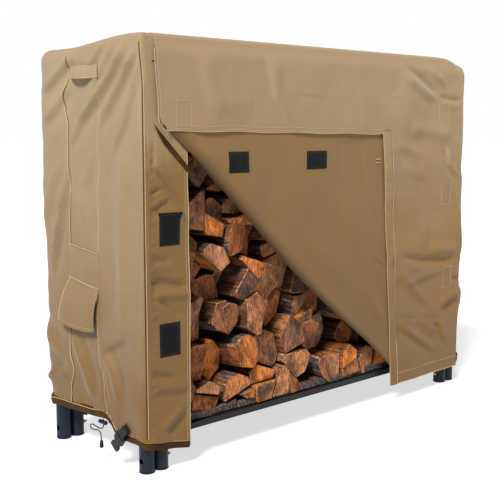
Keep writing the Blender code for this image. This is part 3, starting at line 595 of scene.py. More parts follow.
def cloth(name, us, vs, place, outward, cut_away=None, thickness=CLOTH, lay=None):
    """A grid of cloth whose points lie at place(u, v), then given its thickness inwards.

    outward(point) tells which way the right side faces, cut_away(u, v) leaves cells out,
    and lay(u, v) gives the thread directions' distances where u and v aren't metres.
    """
    fresh()
    bpy.ops.mesh.primitive_grid_add(x_subdivisions=len(us) - 1, y_subdivisions=len(vs) - 1,
                                    size=2, location=(0, 0, 0))
    piece = bpy.context.object
    piece.name = name
    mesh = piece.data
    mesh.name = name
    cell = {}
    for vert in mesh.vertices:
        i = round((vert.co.x + 1) / 2 * (len(us) - 1))
        j = round((vert.co.y + 1) / 2 * (len(vs) - 1))
        cell[vert.index] = (us[i], vs[j])
    for loop in mesh.loops:
        u, v = cell[loop.vertex_index]
        mesh.uv_layers.active.data[loop.index].uv = lay(u, v) if lay else (u, v)
    if cut_away:
        bpy.context.tool_settings.mesh_select_mode = (False, False, True)
        bpy.ops.object.mode_set(mode="EDIT")
        bpy.ops.mesh.select_all(action="DESELECT")
        bpy.ops.object.mode_set(mode="OBJECT")
        for face in mesh.polygons:
            corners = [cell[k] for k in face.vertices]
            u = sum(c[0] for c in corners) / len(corners)
            v = sum(c[1] for c in corners) / len(corners)
            face.select = cut_away(u, v)
    for vert in mesh.vertices:
        vert.co = place(*cell[vert.index])
    if cut_away:
        bpy.ops.object.mode_set(mode="EDIT")
        bpy.ops.mesh.delete(type="FACE")
        bpy.ops.object.mode_set(mode="OBJECT")
    mesh.update()
    agree = sum(1 if face.normal.dot(outward(face.center)) > 0 else -1 for face in mesh.polygons)
    if agree < 0:
        mesh.flip_normals()
    apply_step(piece, "SOLIDIFY", thickness=thickness, offset=-1.0, material_offset=1,
               material_offset_rim=0)
    smooth(piece, 60)
    return piece


def round_line(name, points, radius, sides):
    """A capped round curve through the points."""
    curve = bpy.data.curves.new(name, "CURVE")
    curve.dimensions = "3D"
    curve.bevel_depth = radius
    curve.bevel_resolution = sides
    curve.use_fill_caps = True
    spline = curve.splines.new("POLY")
    spline.points.add(len(points) - 1)
    for knot, point in zip(spline.points, points):
        knot.co = (*point, 1.0)
    piece = bpy.data.objects.new(name, curve)
    bpy.context.scene.collection.objects.link(piece)
    return piece


def piping(name, points, radius, finish):
    """A thin closed roll of cloth or thread along a line of points."""
    pick(round_line(name, points, radius, 2))
    bpy.ops.object.convert(target="MESH")
    piece = bpy.context.object
    face_outwards(piece, merge=0.00002)
    smooth(piece, 60)
    finish_with(piece, finish)
    return piece


def joined(pieces, name):
    """One piece out of several, under a new name."""
    fresh()
    for piece in pieces:
        piece.select_set(True)
    bpy.context.view_layer.objects.active = pieces[0]
    if len(pieces) > 1:
        bpy.ops.object.join()
    whole = bpy.context.object
    whole.name = name
    whole.data.name = name
    return whole


def one_stitch():
    """A lens of thread, 20 faces, lying along X; every stitch is a copy of its shape."""
    fresh()
    bpy.ops.mesh.primitive_ico_sphere_add(subdivisions=1, radius=1.0, location=(0, 0, 0))
    shape = bpy.context.object
    verts = [vert.co.copy() for vert in shape.data.vertices]
    faces = [tuple(face.vertices) for face in shape.data.polygons]
    bpy.data.objects.remove(shape, do_unlink=True)
    return verts, faces


STITCH = one_stitch()


def stitching(name, runs, finish, length=0.0042, gap=0.0018, radius=0.00055):
    """Rows of stitches; each run is (points, outward) with outward(point) the cloth's side."""
    verts, faces = [], []
    for points, outward in runs:
        marks, carried = [], 0.0
        for a, b in zip(points, points[1:]):
            span = (b - a).length
            at = carried
            while at < span:
                marks.append((a.lerp(b, at / span), (b - a).normalized()))
                at += length + gap
            carried = at - span
        for spot, way in marks:
            out = outward(spot).normalized()
            side = out.cross(way).normalized()
            base = len(verts)
            for co in STITCH[0]:
                verts.append(spot + way * (co.x * length / 2) + side * (co.y * radius)
                             + out * (co.z * radius))
            faces += [tuple(base + k for k in face) for face in STITCH[1]]
    mesh = bpy.data.meshes.new(name)
    mesh.from_pydata(verts, [], faces)
    piece = bpy.data.objects.new(name, mesh)
    bpy.context.scene.collection.objects.link(piece)
    face_outwards(piece)
    bpy.ops.object.shade_smooth()
    finish_with(piece, finish)
    return piece


def sewn_ring(corners, place):
    """Eight places along each side of a four-cornered row of stitches, closed at its start."""
    ring = []
    for (ax, az), (bx, bz) in zip(corners, corners[1:]):
        ring += [place(ax + (bx - ax) * k / 8, az + (bz - az) * k / 8) for k in range(8)]
    return ring + [ring[0]]


def wear(piece, body, *nodes, slot=None):
    """Let the piece move with a body, and stand for those CAD nodes of it."""
    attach(piece, body)
    if nodes:
        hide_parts(*nodes)
    return piece


# ------------------------------------------------------------------ folds
def fold_height(folds, a, b):
    """Sum of folds at a point: each is (line, width, height, dip on its right-hand side)."""
    total = 0.0
    for line, width, height, dip in folds:
        reach = 5.0 * width
        best, signed, share = 1e9, 0.0, 0.0
        count = len(line) - 1
        for k in range(count):
            (a0, b0), (a1, b1) = line[k], line[k + 1]
            if (a < min(a0, a1) - reach or a > max(a0, a1) + reach
                    or b < min(b0, b1) - reach or b > max(b0, b1) + reach):
                continue
            da, db = a1 - a0, b1 - b0
            size = da * da + db * db
            t = min(1.0, max(0.0, ((a - a0) * da + (b - b0) * db) / size))
            off_a, off_b = a - a0 - da * t, b - b0 - db * t
            far = math.hypot(off_a, off_b)
            if far < best:
                best = far
                signed = (off_a * db - off_b * da) / math.sqrt(size)
                share = (k + t) / count
        if best > reach:
            continue
        fade = ease(share, -0.02, 0.22) * (1 - ease(share, 0.72, 1.02))
        q = math.copysign(best, signed) / width
        total += fade * height * (math.exp(-q * q) - dip * math.exp(-((q - 1.9) / 1.5) ** 2))
    return total


def ripple(x, y, z, scale, height):
    """Uneven slack of about this height, with so many waves a metre."""
    return height * noise.noise(Vector((x * scale, y * scale, z * scale)))


# Folds on an end wall: (line, width, height, dip), the line in (distance along the wall,
# height).  The cloth hangs from the front top corner, so they fan out from there.
END_FOLDS = [
    ([(-0.200, 0.995), (-0.142, 0.920), (-0.099, 0.868), (-0.050, 0.800)], 0.0075, 0.0120, 0.0),
    ([(-0.207, 0.985), (-0.160, 0.912), (-0.115, 0.850), (-0.072, 0.790)], 0.0090, -0.0075, 0.0),
    ([(-0.150, 1.002), (-0.106, 0.943), (-0.046, 0.886), (0.060, 0.800)], 0.0080, 0.0120, 0.0),
    ([(-0.160, 0.985), (-0.118, 0.925), (-0.062, 0.868), (0.020, 0.800)], 0.0100, -0.0075, 0.0),
    ([(-0.213, 0.985), (-0.184, 0.900), (-0.145, 0.810), (-0.100, 0.730)], 0.0070, 0.0090, 0.8),
    ([(-0.068, 1.004), (-0.040, 0.976), (0.010, 0.940)], 0.008, 0.0055, 0.8),
    ([(-0.110, 1.004), (-0.070, 0.955), (-0.020, 0.905)], 0.009, 0.0045, 0.8),
    ([(0.045, 0.985), (0.120, 0.945), (0.215, 0.890)], 0.012, 0.0080, 0.8),
    ([(0.070, 0.915), (0.130, 0.865), (0.200, 0.815)], 0.012, 0.0070, 0.8),
    ([(0.088, 0.720), (0.118, 0.620), (0.150, 0.510), (0.170, 0.430)], 0.008, 0.0110, 0.9),
    ([(0.130, 0.730), (0.165, 0.650), (0.205, 0.540)], 0.012, 0.0060, 0.8),
    ([(-0.010, 0.862), (0.030, 0.815), (0.083, 0.760)], 0.010, 0.0050, 0.8),
    ([(-0.105, 0.760), (-0.085, 0.640), (-0.082, 0.500), (-0.085, 0.360)], 0.020, -0.0060, 0.0),
    ([(-0.165, 0.800), (-0.140, 0.640), (-0.130, 0.470), (-0.135, 0.300)], 0.020, 0.0085, 0.3),
    ([(-0.196, 0.700), (-0.198, 0.500), (-0.194, 0.300)], 0.009, -0.0045, 0.0),
    ([(-0.150, 0.330), (-0.080, 0.295), (-0.038, 0.276)], 0.009, 0.0060, 0.8),
    ([(-0.038, 0.285), (-0.085, 0.235), (-0.115, 0.150)], 0.013, 0.0060, 0.9),
    ([(-0.040, 0.240), (-0.048, 0.190), (-0.062, 0.140)], 0.010, -0.0060, 0.0),
    ([(0.072, 0.300), (0.030, 0.225), (0.000, 0.140)], 0.014, 0.0080, 0.9),
    ([(0.215, 0.168), (0.150, 0.178), (0.092, 0.198)], 0.011, 0.0085, 0.9),
    ([(0.240, 0.330), (0.190, 0.270), (0.110, 0.240)], 0.016, 0.0055, 0.8),
    ([(0.040, 0.660), (0.020, 0.600), (0.010, 0.530)], 0.018, 0.0045, 0.7),
    ([(-0.030, 0.760), (0.000, 0.700), (0.040, 0.660)], 0.016, 0.0040, 0.7),
]


def drawn_in(x, y, z):
    """How far the hem is drawn in by its cord: it pulls the last few centimetres inwards."""
    return 0.006 * (1 - ease(z - hem_height(x, y), 0.0, 0.07))


def hem_draw(x, y, hem, ny):
    """How far the hem's edge itself comes in: less near the front and at the corners."""
    return drawn_in(x, y, hem) * (1.0 if y > -0.06 else 0.35) * (0.4 if ny else 1.0)


def end_slack(a, z, x, y):
    """Outward displacement of an end wall's cloth."""
    low = 1 - ease(z, 0.88, 1.0)
    out = fold_height(END_FOLDS, a, z)
    out += ripple(x, y * 1.6, z, 7.0, 0.0070) * low + ripple(x, y, z, 24.0, 0.0016) * low
    over = z - hem_height(x, y)
    gather = (1 - ease(over, 0.0, 0.035)) * 0.0011
    out += gather * math.sin(a * 2 * math.pi / 0.017 + 3 * noise.noise(Vector((a * 9, 0, 0))))
    out -= drawn_in(x, y, z) * (1.0 if y > -0.06 else 0.35)
    return max(out, -0.0095)


def end_plan(sign, a):
    """Point and outward direction at distance a round an end wall; a = y on its flat part."""
    front = FRONT_RADIUS[sign]
    flat_back, flat_front = BACK_Y - BACK_RADIUS, FRONT_Y + front
    if a > flat_back:
        turn = min(math.pi / 2, (a - flat_back) / BACK_RADIUS)
        rest = max(0.0, a - flat_back - BACK_RADIUS * math.pi / 2)
        x = sign * (HALF_LENGTH - BACK_RADIUS + BACK_RADIUS * math.cos(turn) - rest)
        return x, flat_back + BACK_RADIUS * math.sin(turn), sign * math.cos(turn), math.sin(turn)
    if a < flat_front:
        turn = min(math.pi / 2, (flat_front - a) / front)
        rest = max(0.0, flat_front - a - front * math.pi / 2)
        x = sign * (HALF_LENGTH - front + front * math.cos(turn) - rest)
        return x, flat_front - front * math.sin(turn), sign * math.cos(turn), -math.sin(turn)
    return sign * HALF_LENGTH, a, sign, 0.0


def wall_point(x, y, nx, ny, rise, slack, reach):
    """rise: 0 to 1 from hem to shoulder, 1 to 2 over the rounding, 2 to 3 the lap under the top."""
    roll, top, hem = roll_over(x, y), top_height(x, y), hem_height(x, y)
    turn = math.pi / 2 * min(1.0, max(0.0, rise - 1.0))
    inset = roll * (1 - math.cos(turn))
    z = hem + (top - roll - hem) * rise if rise <= 1 else top - roll + roll * math.sin(turn)
    if rise > 2:
        inset += 0.008 * (rise - 2)
        z -= 0.0011
    inset = min(inset, reach - 0.0004)
    out = slack(z) * math.cos(turn) - inset
    return Vector((x + nx * out, y + ny * out, z))


def corner_squeeze(sign, a, z):
    """The right front corner is pulled back against its leg, in uneven waves."""
    if sign < 0:
        return 0.0
    near = ease(-a, 0.165, 0.195) * (1 - 0.4 * ease(-a, 0.222, 0.232))
    waves = through([(0.06, -0.009), (0.13, -0.010), (0.20, -0.006), (0.285, 0.004),
                     (0.335, -0.009), (0.40, -0.002), (0.44, 0.003), (0.56, -0.004),
                     (0.65, -0.003), (0.70, -0.010), (0.77, -0.006), (0.86, -0.010),
                     (0.92, -0.005), (1.02, -0.004)], z)
    return near * waves


def end_skin(sign, a, rise):
    """The outer surface of an end's cloth, calm where it turns the corners."""
    x, y, nx, ny = end_plan(sign, a)
    reach = BACK_RADIUS if a > 0 else FRONT_RADIUS[sign]

    def slack(z):
        near_seam = 1.0 if sign < 0 else 1 - ease(-a, 0.16, 0.2)
        front_keep = 1 - ease(-a, 0.198, 0.222)
        back_keep = 1 - ease(a, 0.235, 0.26)
        return (end_slack(a, z, x, y) * near_seam * front_keep * back_keep
                + corner_squeeze(sign, a, z))

    return wall_point(x, y, nx, ny, rise, slack, reach)


def end_rise(sign, a, z):
    """The rise that belongs to a height on an end wall."""
    x, y, _, _ = end_plan(sign, a)
    hem, shoulder = hem_height(x, y), top_height(x, y) - roll_over(x, y)
    return (z - hem) / (shoulder - hem)


def on_end(sign, a, z, lift=0.0):
    """A point on an end wall's cloth at a height, lifted off it by a little."""
    point = end_skin(sign, a, end_rise(sign, a, z))
    _, _, nx, ny = end_plan(sign, a)
    return point + Vector((nx, ny, 0)) * lift


# Rises over the rounding onto the top, then the lap under it
ROLL_STEPS = [1.0 + k / 8 for k in range(1, 9)] + [2.5, 3.0]


def end_cloth(sign, finishes, corner_finish):
    """An end panel, which wraps the front and back corners; the front's strip of it takes another
    copy of the cloth, tuned paler or darker for the light on the front: painted light.
    """
    side = SIDES[sign]
    us = spread(END_FRONT_STOP[sign], END_BACK_STOP, 0.0052)
    vs = parts(150) + ROLL_STEPS
    piece = cloth(side + "_end_cloth", us, vs, lambda a, v: end_skin(sign, a, v),
                  lambda c: Vector((sign, 0.3 if c.y > 0.18 else 0, 0.3)),
                  lay=lambda a, v: (a, v * 0.93))
    finish_with(piece, *finishes, corner_finish)
    for face in piece.data.polygons:
        if face.center.y < FRONT_Y + 0.0025 and face.normal.y < -0.1:
            face.material_index = 2
    wear(piece, "cover", side + "_end_panel", slot="cover_canvas")
    return piece


def back_cloth(finishes):
    """The back panel sways in broad upright waves and is held at its corners."""
    def place(x, rise):
        def slack(z):
            edge = ease(0.584 - abs(x), 0.0, 0.06)
            low = 1 - ease(z, 0.88, 1.0)
            sway = 0.004 * math.sin(x * 21 + 2.0 * math.sin(z * 3)) * (1 - 0.6 * z)
            sway += ripple(x, 1.0, z, 5.0, 0.006)
            return edge * low * sway - drawn_in(x, BACK_Y, z) * 0.5
        return wall_point(x, BACK_Y, 0.0, 1.0, rise, slack, BACK_RADIUS)

    vs = parts(110) + ROLL_STEPS
    piece = cloth("back_cloth", spread(-0.585, 0.585, 0.0085), vs, place,
                  lambda c: Vector((0, 1, 0.3)), lay=lambda u, v: (u, v * 0.93))
    finish_with(piece, *finishes)
    wear(piece, "cover", "back_panel", slot="cover_canvas")
    return piece


# ------------------------------------------------------------------ front columns
# (line, width, height, dip), the line in (x, z)
COLUMN_FOLDS = [
    ([(-0.620, 0.735), (-0.570, 0.678), (-0.536, 0.642), (-0.506, 0.606)], 0.008, -0.0060, 0.0),
    ([(-0.614, 0.712), (-0.570, 0.662), (-0.536, 0.622), (-0.510, 0.585)], 0.0065, 0.0085, 0.0),
    ([(-0.628, 0.655), (-0.604, 0.664), (-0.580, 0.674)], 0.005, -0.0040, 0.3),
    ([(-0.618, 0.628), (-0.592, 0.644), (-0.562, 0.652)], 0.005, 0.0040, 0.8),
    ([(-0.622, 0.620), (-0.600, 0.614), (-0.580, 0.614)], 0.005, -0.0035, 0.2),
    ([(-0.617, 0.512), (-0.590, 0.506), (-0.552, 0.504)], 0.009, -0.0050, 0.4),
    ([(-0.622, 0.462), (-0.560, 0.448), (-0.496, 0.436)], 0.011, -0.0080, 0.0),
    ([(-0.612, 0.430), (-0.560, 0.424), (-0.496, 0.416)], 0.008, 0.0060, 0.0),
    ([(-0.598, 0.420), (-0.565, 0.394), (-0.525, 0.362)], 0.007, -0.0050, 0.3),
    ([(-0.624, 0.412), (-0.617, 0.388), (-0.604, 0.370)], 0.005, 0.0030, 0.8),
    ([(-0.624, 0.246), (-0.590, 0.234), (-0.535, 0.222)], 0.007, -0.0060, 0.4),
    ([(-0.624, 0.238), (-0.612, 0.222), (-0.600, 0.206)], 0.004, 0.0028, 0.8),
    ([(-0.615, 0.212), (-0.560, 0.202), (-0.500, 0.196)], 0.010, 0.0055, 0.5),
    ([(-0.590, 0.105), (-0.560, 0.128), (-0.515, 0.160)], 0.011, 0.0050, 0.8),
    ([(-0.604, 0.800), (-0.607, 0.760), (-0.606, 0.710)], 0.006, -0.0045, 0.0),
]


def column_skin(sign, x, z):
    """A front column's outer surface; the left one is creased, the right one lies hidden."""
    seam = CORNER_SEAM_X[sign]
    inside = ease(seam - abs(x), 0.0, 0.010)
    calm = 1 - ease(z, 0.72, 0.80) if sign < 0 else 0.0
    out = (fold_height(COLUMN_FOLDS, x, z) + ripple(x, FRONT_Y, z, 11.0, 0.0034)) * calm
    pucker = math.exp(-((seam - abs(x)) / 0.014) ** 2) * 0.0018 * calm
    out += pucker * math.sin(z * 2 * math.pi / 0.021 + 4 * noise.noise(Vector((0, 3, z * 7))))
    return Vector((x, FRONT_Y - out * inside - (1 - inside) * 0.0002, z))


def column_edge(sign, z):
    """The free edge of a column wavers by a few millimetres."""
    if sign > 0:
        return COLUMN_EDGE_X
    waver = ease(z, 0.55, 0.70) - math.exp(-((z - 0.42) / 0.1) ** 2)
    return COLUMN_EDGE_X + 0.003 * waver


def column_cloth(sign, finishes):
    """A front column, from the corner seam (u = 0) to its free edge and from the hem up."""
    side, seam = SIDES[sign], CORNER_SEAM_X[sign]

    def place(u, v):
        edge = column_edge(sign, 0.07 + 0.89 * v)
        x = sign * (seam + (edge - seam) * u)
        hem = hem_height(x, FRONT_Y)
        return column_skin(sign, x, hem + (COLUMN_TOP - hem) * v)

    step = 0.0044 / (seam - COLUMN_EDGE_X)
    piece = cloth(side + "_column_cloth", spread(0.0, 1.0, step), parts(190), place, ahead,
                  lay=lambda u, v: (u * 0.115, v * 0.89))
    finish_with(piece, *finishes)
    wear(piece, "cover", side + "_front_column", slot="cover_canvas")
    return piece


def header_cloth(finishes):
    """The strip between the corner seams that the columns and the flap hang from."""
    def place(x, v):
        if v < 1.0:
            shoulder = top_height(x, FRONT_Y) - roll_over(x, FRONT_Y)
            return Vector((x, FRONT_Y, HEADER_BOTTOM + (shoulder - HEADER_BOTTOM) * v))
        reach = FRONT_RADIUS[-1 if x < 0 else 1]
        return wall_point(x, FRONT_Y, 0.0, -1.0, v, lambda z: 0.0, reach)

    piece = cloth("header_cloth", spread(-CORNER_SEAM_X[-1], CORNER_SEAM_X[1], 0.010),
                  parts(6) + ROLL_STEPS, place, lambda c: Vector((0, -1, 0.3)),
                  lay=lambda u, v: (u, v * 0.05))
    finish_with(piece, *finishes)
    wear(piece, "cover", "front_header", slot="cover_canvas")
    return piece


def top_cloth(finishes):
    """The top sags a little between the end arches and over the logs."""
    left, right = -HALF_LENGTH, HALF_LENGTH
    xs = [left, left + 0.004, left + 0.008, left + 0.012]
    xs += spread(left + 0.02, right - 0.04, 0.010)
    xs += spread(right - 0.034, right, 0.006)
    ys = [FRONT_Y, FRONT_Y + 0.004, FRONT_Y + 0.008, FRONT_Y + 0.012, FRONT_Y + 0.018]
    ys += spread(FRONT_Y + 0.028, BACK_Y - 0.042, 0.009) + spread(BACK_Y - 0.035, BACK_Y, 0.006)

    def place(x, y):
        reach = BACK_RADIUS if y > 0 else FRONT_RADIUS[-1 if x < 0 else 1]
        cx = max(left + reach, min(right - reach, x))
        cy = max(FRONT_Y + reach, min(BACK_Y - reach, y))
        dx, dy = x - cx, y - cy
        if dx and dy:
            shrink = max(abs(dx), abs(dy)) / math.hypot(dx, dy)
            dx, dy = dx * shrink, dy * shrink
        keep = 1.0 - roll_over(cx + dx, cy + dy) / reach
        px, py = cx + dx * keep, cy + dy * keep
        inside = ease(min(px - left, right - px), 0.02, 0.15) * ease(
            min(py - FRONT_Y, BACK_Y - py), 0.02, 0.12)
        sag = inside * (0.007 + ripple(px, py, 0.0, 6.0, 0.006) + ripple(px, py, 1.0, 17.0, 0.002))
        return Vector((px, py, top_height(cx + dx, cy + dy) + 0.0003 - sag))

    piece = cloth("top_cloth", xs, ys, place, lambda c: Vector((0, 0, 1)))
    finish_with(piece, *finishes)
    wear(piece, "cover", "top_panel", slot="cover_canvas")
    return piece


# ------------------------------------------------------------------ front flap
BAND_LEFT, BAND_RIGHT = 0.203, 0.243     # the placket's edges at the valance
BAND_TOP, FLAP_FOOT = 0.800, 0.052
FLAP_LIFT = 0.0012                       # the flap lies on the header by this much


def band_lean(z):
    """The placket leans to the right on its way down."""
    return 0.058 * (BAND_TOP - z) / 0.73


def band_left(z):
    return BAND_LEFT + band_lean(z)


def band_right(z):
    return BAND_RIGHT + band_lean(z) * 0.85


# (line, width, height, dip), the line in (x, z)
FLAP_FOLDS = [
    ([(0.290, 1.000), (0.396, 0.945), (0.476, 0.905)], 0.012, -0.0060, 0.5),
    ([(0.310, 0.955), (0.370, 0.925), (0.440, 0.895)], 0.010, 0.0030, 0.3),
    ([(0.400, 1.002), (0.440, 0.973), (0.520, 0.930)], 0.012, 0.0040, 0.5),
    ([(0.476, 0.900), (0.540, 0.893), (0.600, 0.892)], 0.008, -0.0040, 0.4),
    ([(-0.245, 0.990), (-0.217, 0.882), (-0.159, 0.812)], 0.020, 0.0030, 0.8),
    ([(-0.470, 0.990), (-0.440, 0.900), (-0.400, 0.830)], 0.022, 0.0020, 0.8),
    ([(-0.006, 1.000), (-0.005, 0.950), (-0.004, 0.895)], 0.003, 0.0007, 0.5),
    ([(-0.150, 0.900), (-0.100, 0.897), (-0.050, 0.893)], 0.004, 0.0009, 0.8),
    ([(0.200, 0.895), (0.250, 0.897), (0.310, 0.896)], 0.004, 0.0009, 0.8),
    ([(0.330, 0.810), (0.440, 0.800), (0.560, 0.775)], 0.020, 0.0040, 0.6),
    ([(0.262, 0.765), (0.340, 0.745), (0.420, 0.726)], 0.014, 0.0020, 0.6),
    ([(0.285, 0.700), (0.350, 0.682), (0.430, 0.655)], 0.016, 0.0022, 0.7),
    ([(0.517, 0.756), (0.540, 0.700), (0.590, 0.650)], 0.008, 0.0050, 0.9),
    ([(0.430, 0.447), (0.510, 0.440), (0.600, 0.436)], 0.016, 0.0050, 0.0),
    ([(0.290, 0.436), (0.400, 0.412), (0.500, 0.404), (0.600, 0.402)], 0.012, -0.0060, 0.4),
    ([(0.285, 0.395), (0.372, 0.330), (0.455, 0.266)], 0.015, 0.0045, 0.8),
    ([(0.330, 0.352), (0.420, 0.366), (0.505, 0.372)], 0.012, 0.0030, 0.3),
    ([(0.495, 0.268), (0.550, 0.288), (0.602, 0.300)], 0.014, 0.0060, 0.6),
    ([(0.560, 0.345), (0.585, 0.335), (0.603, 0.332)], 0.008, -0.0045, 0.2),
    ([(0.270, 0.248), (0.380, 0.238), (0.480, 0.224), (0.585, 0.208)], 0.004, -0.0022, 0.8),
    ([(0.290, 0.238), (0.370, 0.192), (0.444, 0.149), (0.490, 0.118)], 0.010, 0.0045, 0.9),
    ([(0.494, 0.222), (0.520, 0.175), (0.548, 0.128)], 0.006, 0.0045, 1.0),
    ([(0.390, 0.240), (0.450, 0.200), (0.500, 0.180)], 0.012, 0.0025, 0.7),
]


def valance_bottom(x):
    """Height of the valance's lower edge, which dips to the right."""
    return 0.801 - 0.009 * ease(x, -0.56, 0.226) + 0.0012 * math.sin(x * 31)


def valance_left(z):
    """The free left edge with its rounded lower corner."""
    if z < 0.836:
        return -0.566 - 0.031 * math.sqrt(max(0.0, 1 - ((0.836 - z) / 0.0352) ** 2))
    return -0.597 - 0.010 * ease(z, 0.836, 1.0)


def flap_right(z):
    """The flap's right edge follows the corner's waves."""
    waves = through([(0.04, -0.006), (0.12, -0.008), (0.20, -0.003), (0.285, 0.003),
                     (0.335, -0.004), (0.43, 0.003), (0.56, 0.0), (0.65, 0.0), (0.70, -0.003),
                     (0.80, 0.0), (0.90, -0.002), (1.02, 0.0)], z)
    return 0.604 + waves


def flap_bottom(x):
    return FLAP_FOOT + 0.004 * ease(x, 0.30, 0.60)


def flap_proud(z, top):
    """The flap stands off the header below its seam, more as it hangs."""
    return FLAP_LIFT + 0.0065 * (1 - ease(z, top - 0.045, top - 0.006))


def flap_out(x, z):
    """How far the flap's folds stand out; calm at its left edge, its right edge and its seam."""
    calm = ease(x + 0.597, -0.02, 0.04)
    out = 1.5 * fold_height(FLAP_FOLDS, x, z)
    out += ripple(x, 0.0, z, 6.0, 0.0065) + ripple(x, 0.0, z, 19.0, 0.0018)
    keep = ease(flap_right(z) - x, -0.002, 0.004) * 0.5 + 0.5
    deepest = -0.0010 - 0.0060 * ease(x, 0.245, 0.290)
    return max(out * calm * keep * (1 - ease(z, 0.955, 1.0)), deepest)


FLAP_SPLIT = 0.70      # of the grid's width, left of it only the valance exists
FLAP_TURN = 0.085      # of the grid's height where the cloth comes over the top edge
FLAP_SEAM = 0.255      # of the grid's height where the valance's lower edge runs


def flap_place(u, v):
    """u runs left to right, v runs from the top seam down to the lower edge."""
    fall = (v - FLAP_SEAM) / (1 - FLAP_SEAM)
    if v > FLAP_SEAM:
        guess = 0.795 + (FLAP_FOOT - 0.795) * fall
    else:
        guess = 1.005 + (0.795 - 1.005) * v / FLAP_SEAM
    left, right = valance_left(max(guess, 0.8015)), flap_right(guess)
    split = 0.226 + band_lean(min(guess, BAND_TOP))
    if u < FLAP_SPLIT:
        x = left + (split - left) * u / FLAP_SPLIT
    else:
        x = split + (right - split) * (u - FLAP_SPLIT) / (1 - FLAP_SPLIT)
    roll = roll_over(x, FRONT_Y) + FLAP_LIFT
    start, end = top_height(x, FRONT_Y) + FLAP_LIFT - roll, valance_bottom(x)
    if v < FLAP_TURN:
        turn = math.pi / 2 * (1 - v / FLAP_TURN)
        y = FRONT_Y - FLAP_LIFT + roll * (1 - math.cos(turn))
        return Vector((x, y, start + roll * math.sin(turn)))
    if v <= FLAP_SEAM:
        return on_flap(x, start + (end - start) * (v - FLAP_TURN) / (FLAP_SEAM - FLAP_TURN))
    return on_flap(x, end + (flap_bottom(x) - end) * fall)


def on_flap(x, z, lift=0.0):
    """A point on the flap's cloth, lifted off it by a little."""
    top = top_height(x, FRONT_Y)
    return Vector((x, FRONT_Y - flap_proud(z, top) - flap_out(x, z) - lift, z))


def flap_cloth(finishes):
    """The valance and the closed right part, one sheet that bends over the top front edge."""
    us = spread(0.0, FLAP_SPLIT, FLAP_SPLIT / 130) + spread(FLAP_SPLIT, 1.0, 0.3 / 66)[1:]
    vs = [FLAP_TURN * k / 10 for k in range(10)] + spread(FLAP_TURN, FLAP_SEAM, 0.17 / 36)
    vs += spread(FLAP_SEAM, 1.0, 0.745 / 130)[1:]
    piece = cloth("front_flap_cloth", us, vs, flap_place, ahead,
                  cut_away=lambda u, v: u < FLAP_SPLIT and v > FLAP_SEAM,
                  lay=lambda u, v: (u * 1.2, v * 0.97))
    finish_with(piece, *finishes)
    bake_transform(piece)
    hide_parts("front_sheet")
    return piece


DOOR_TOP = 0.822
DOOR_BACK_Y = -0.2006                    # the folded-back layer stays in front of the logs
ROLL_START = (-0.570, 0.810)
ROLL_END = (0.261, 0.068)


def roll_height(x):
    """Height of the door's rolled edge, which runs down across the opening."""
    (x0, z0), (x1, z1) = ROLL_START, ROLL_END
    return z0 + (z1 - z0) * (x - x0) / (x1 - x0) + 0.0022 * math.sin(x * 13.0)


# (line, width, height, dip), the line in (x, z)
DOOR_FOLDS = [
    ([(0.014, 0.800), (0.022, 0.740), (0.026, 0.690)], 0.006, -0.0020, 0.5),
    ([(0.010, 0.770), (0.034, 0.780), (0.060, 0.787)], 0.005, 0.0020, 0.6),
    ([(0.150, 0.448), (0.180, 0.430), (0.215, 0.405)], 0.006, 0.0040, 0.9),
    ([(0.155, 0.580), (0.180, 0.540), (0.212, 0.490)], 0.012, -0.0035, 0.5),
    ([(-0.110, 0.520), (-0.020, 0.440), (0.060, 0.350)], 0.030, 0.0030, 0.8),
    ([(-0.260, 0.640), (-0.140, 0.540), (-0.040, 0.440)], 0.030, 0.0030, 0.7),
    ([(0.080, 0.380), (0.150, 0.300), (0.215, 0.200)], 0.022, 0.0040, 0.8),
    ([(0.030, 0.640), (0.060, 0.540), (0.085, 0.440)], 0.020, 0.0025, 0.7),
    ([(0.120, 0.760), (0.130, 0.700), (0.150, 0.620)], 0.014, 0.0018, 0.7),
    ([(-0.400, 0.740), (-0.330, 0.680), (-0.250, 0.620)], 0.020, 0.0020, 0.7),
]


def door_front_y(x, z):
    """The door hangs just behind the valance, then bellies forward to its rolled edge."""
    below = ease(BAND_TOP - z, 0.0, 0.06)
    near_roll = math.exp(-max(0.0, z - roll_height(x)) / 0.055)
    band_side = 1 - ease(x, 0.10, 0.20)
    belly = 0.010 * near_roll * below * (0.25 + 0.75 * band_side)
    out = 1.3 * fold_height(DOOR_FOLDS, x, z) + ripple(x, 2.0, z, 7.0, 0.0035)
    return -0.2180 - below * (belly + max(-0.0015, out) * (1 - 0.7 * ease(x, 0.16, 0.21)))


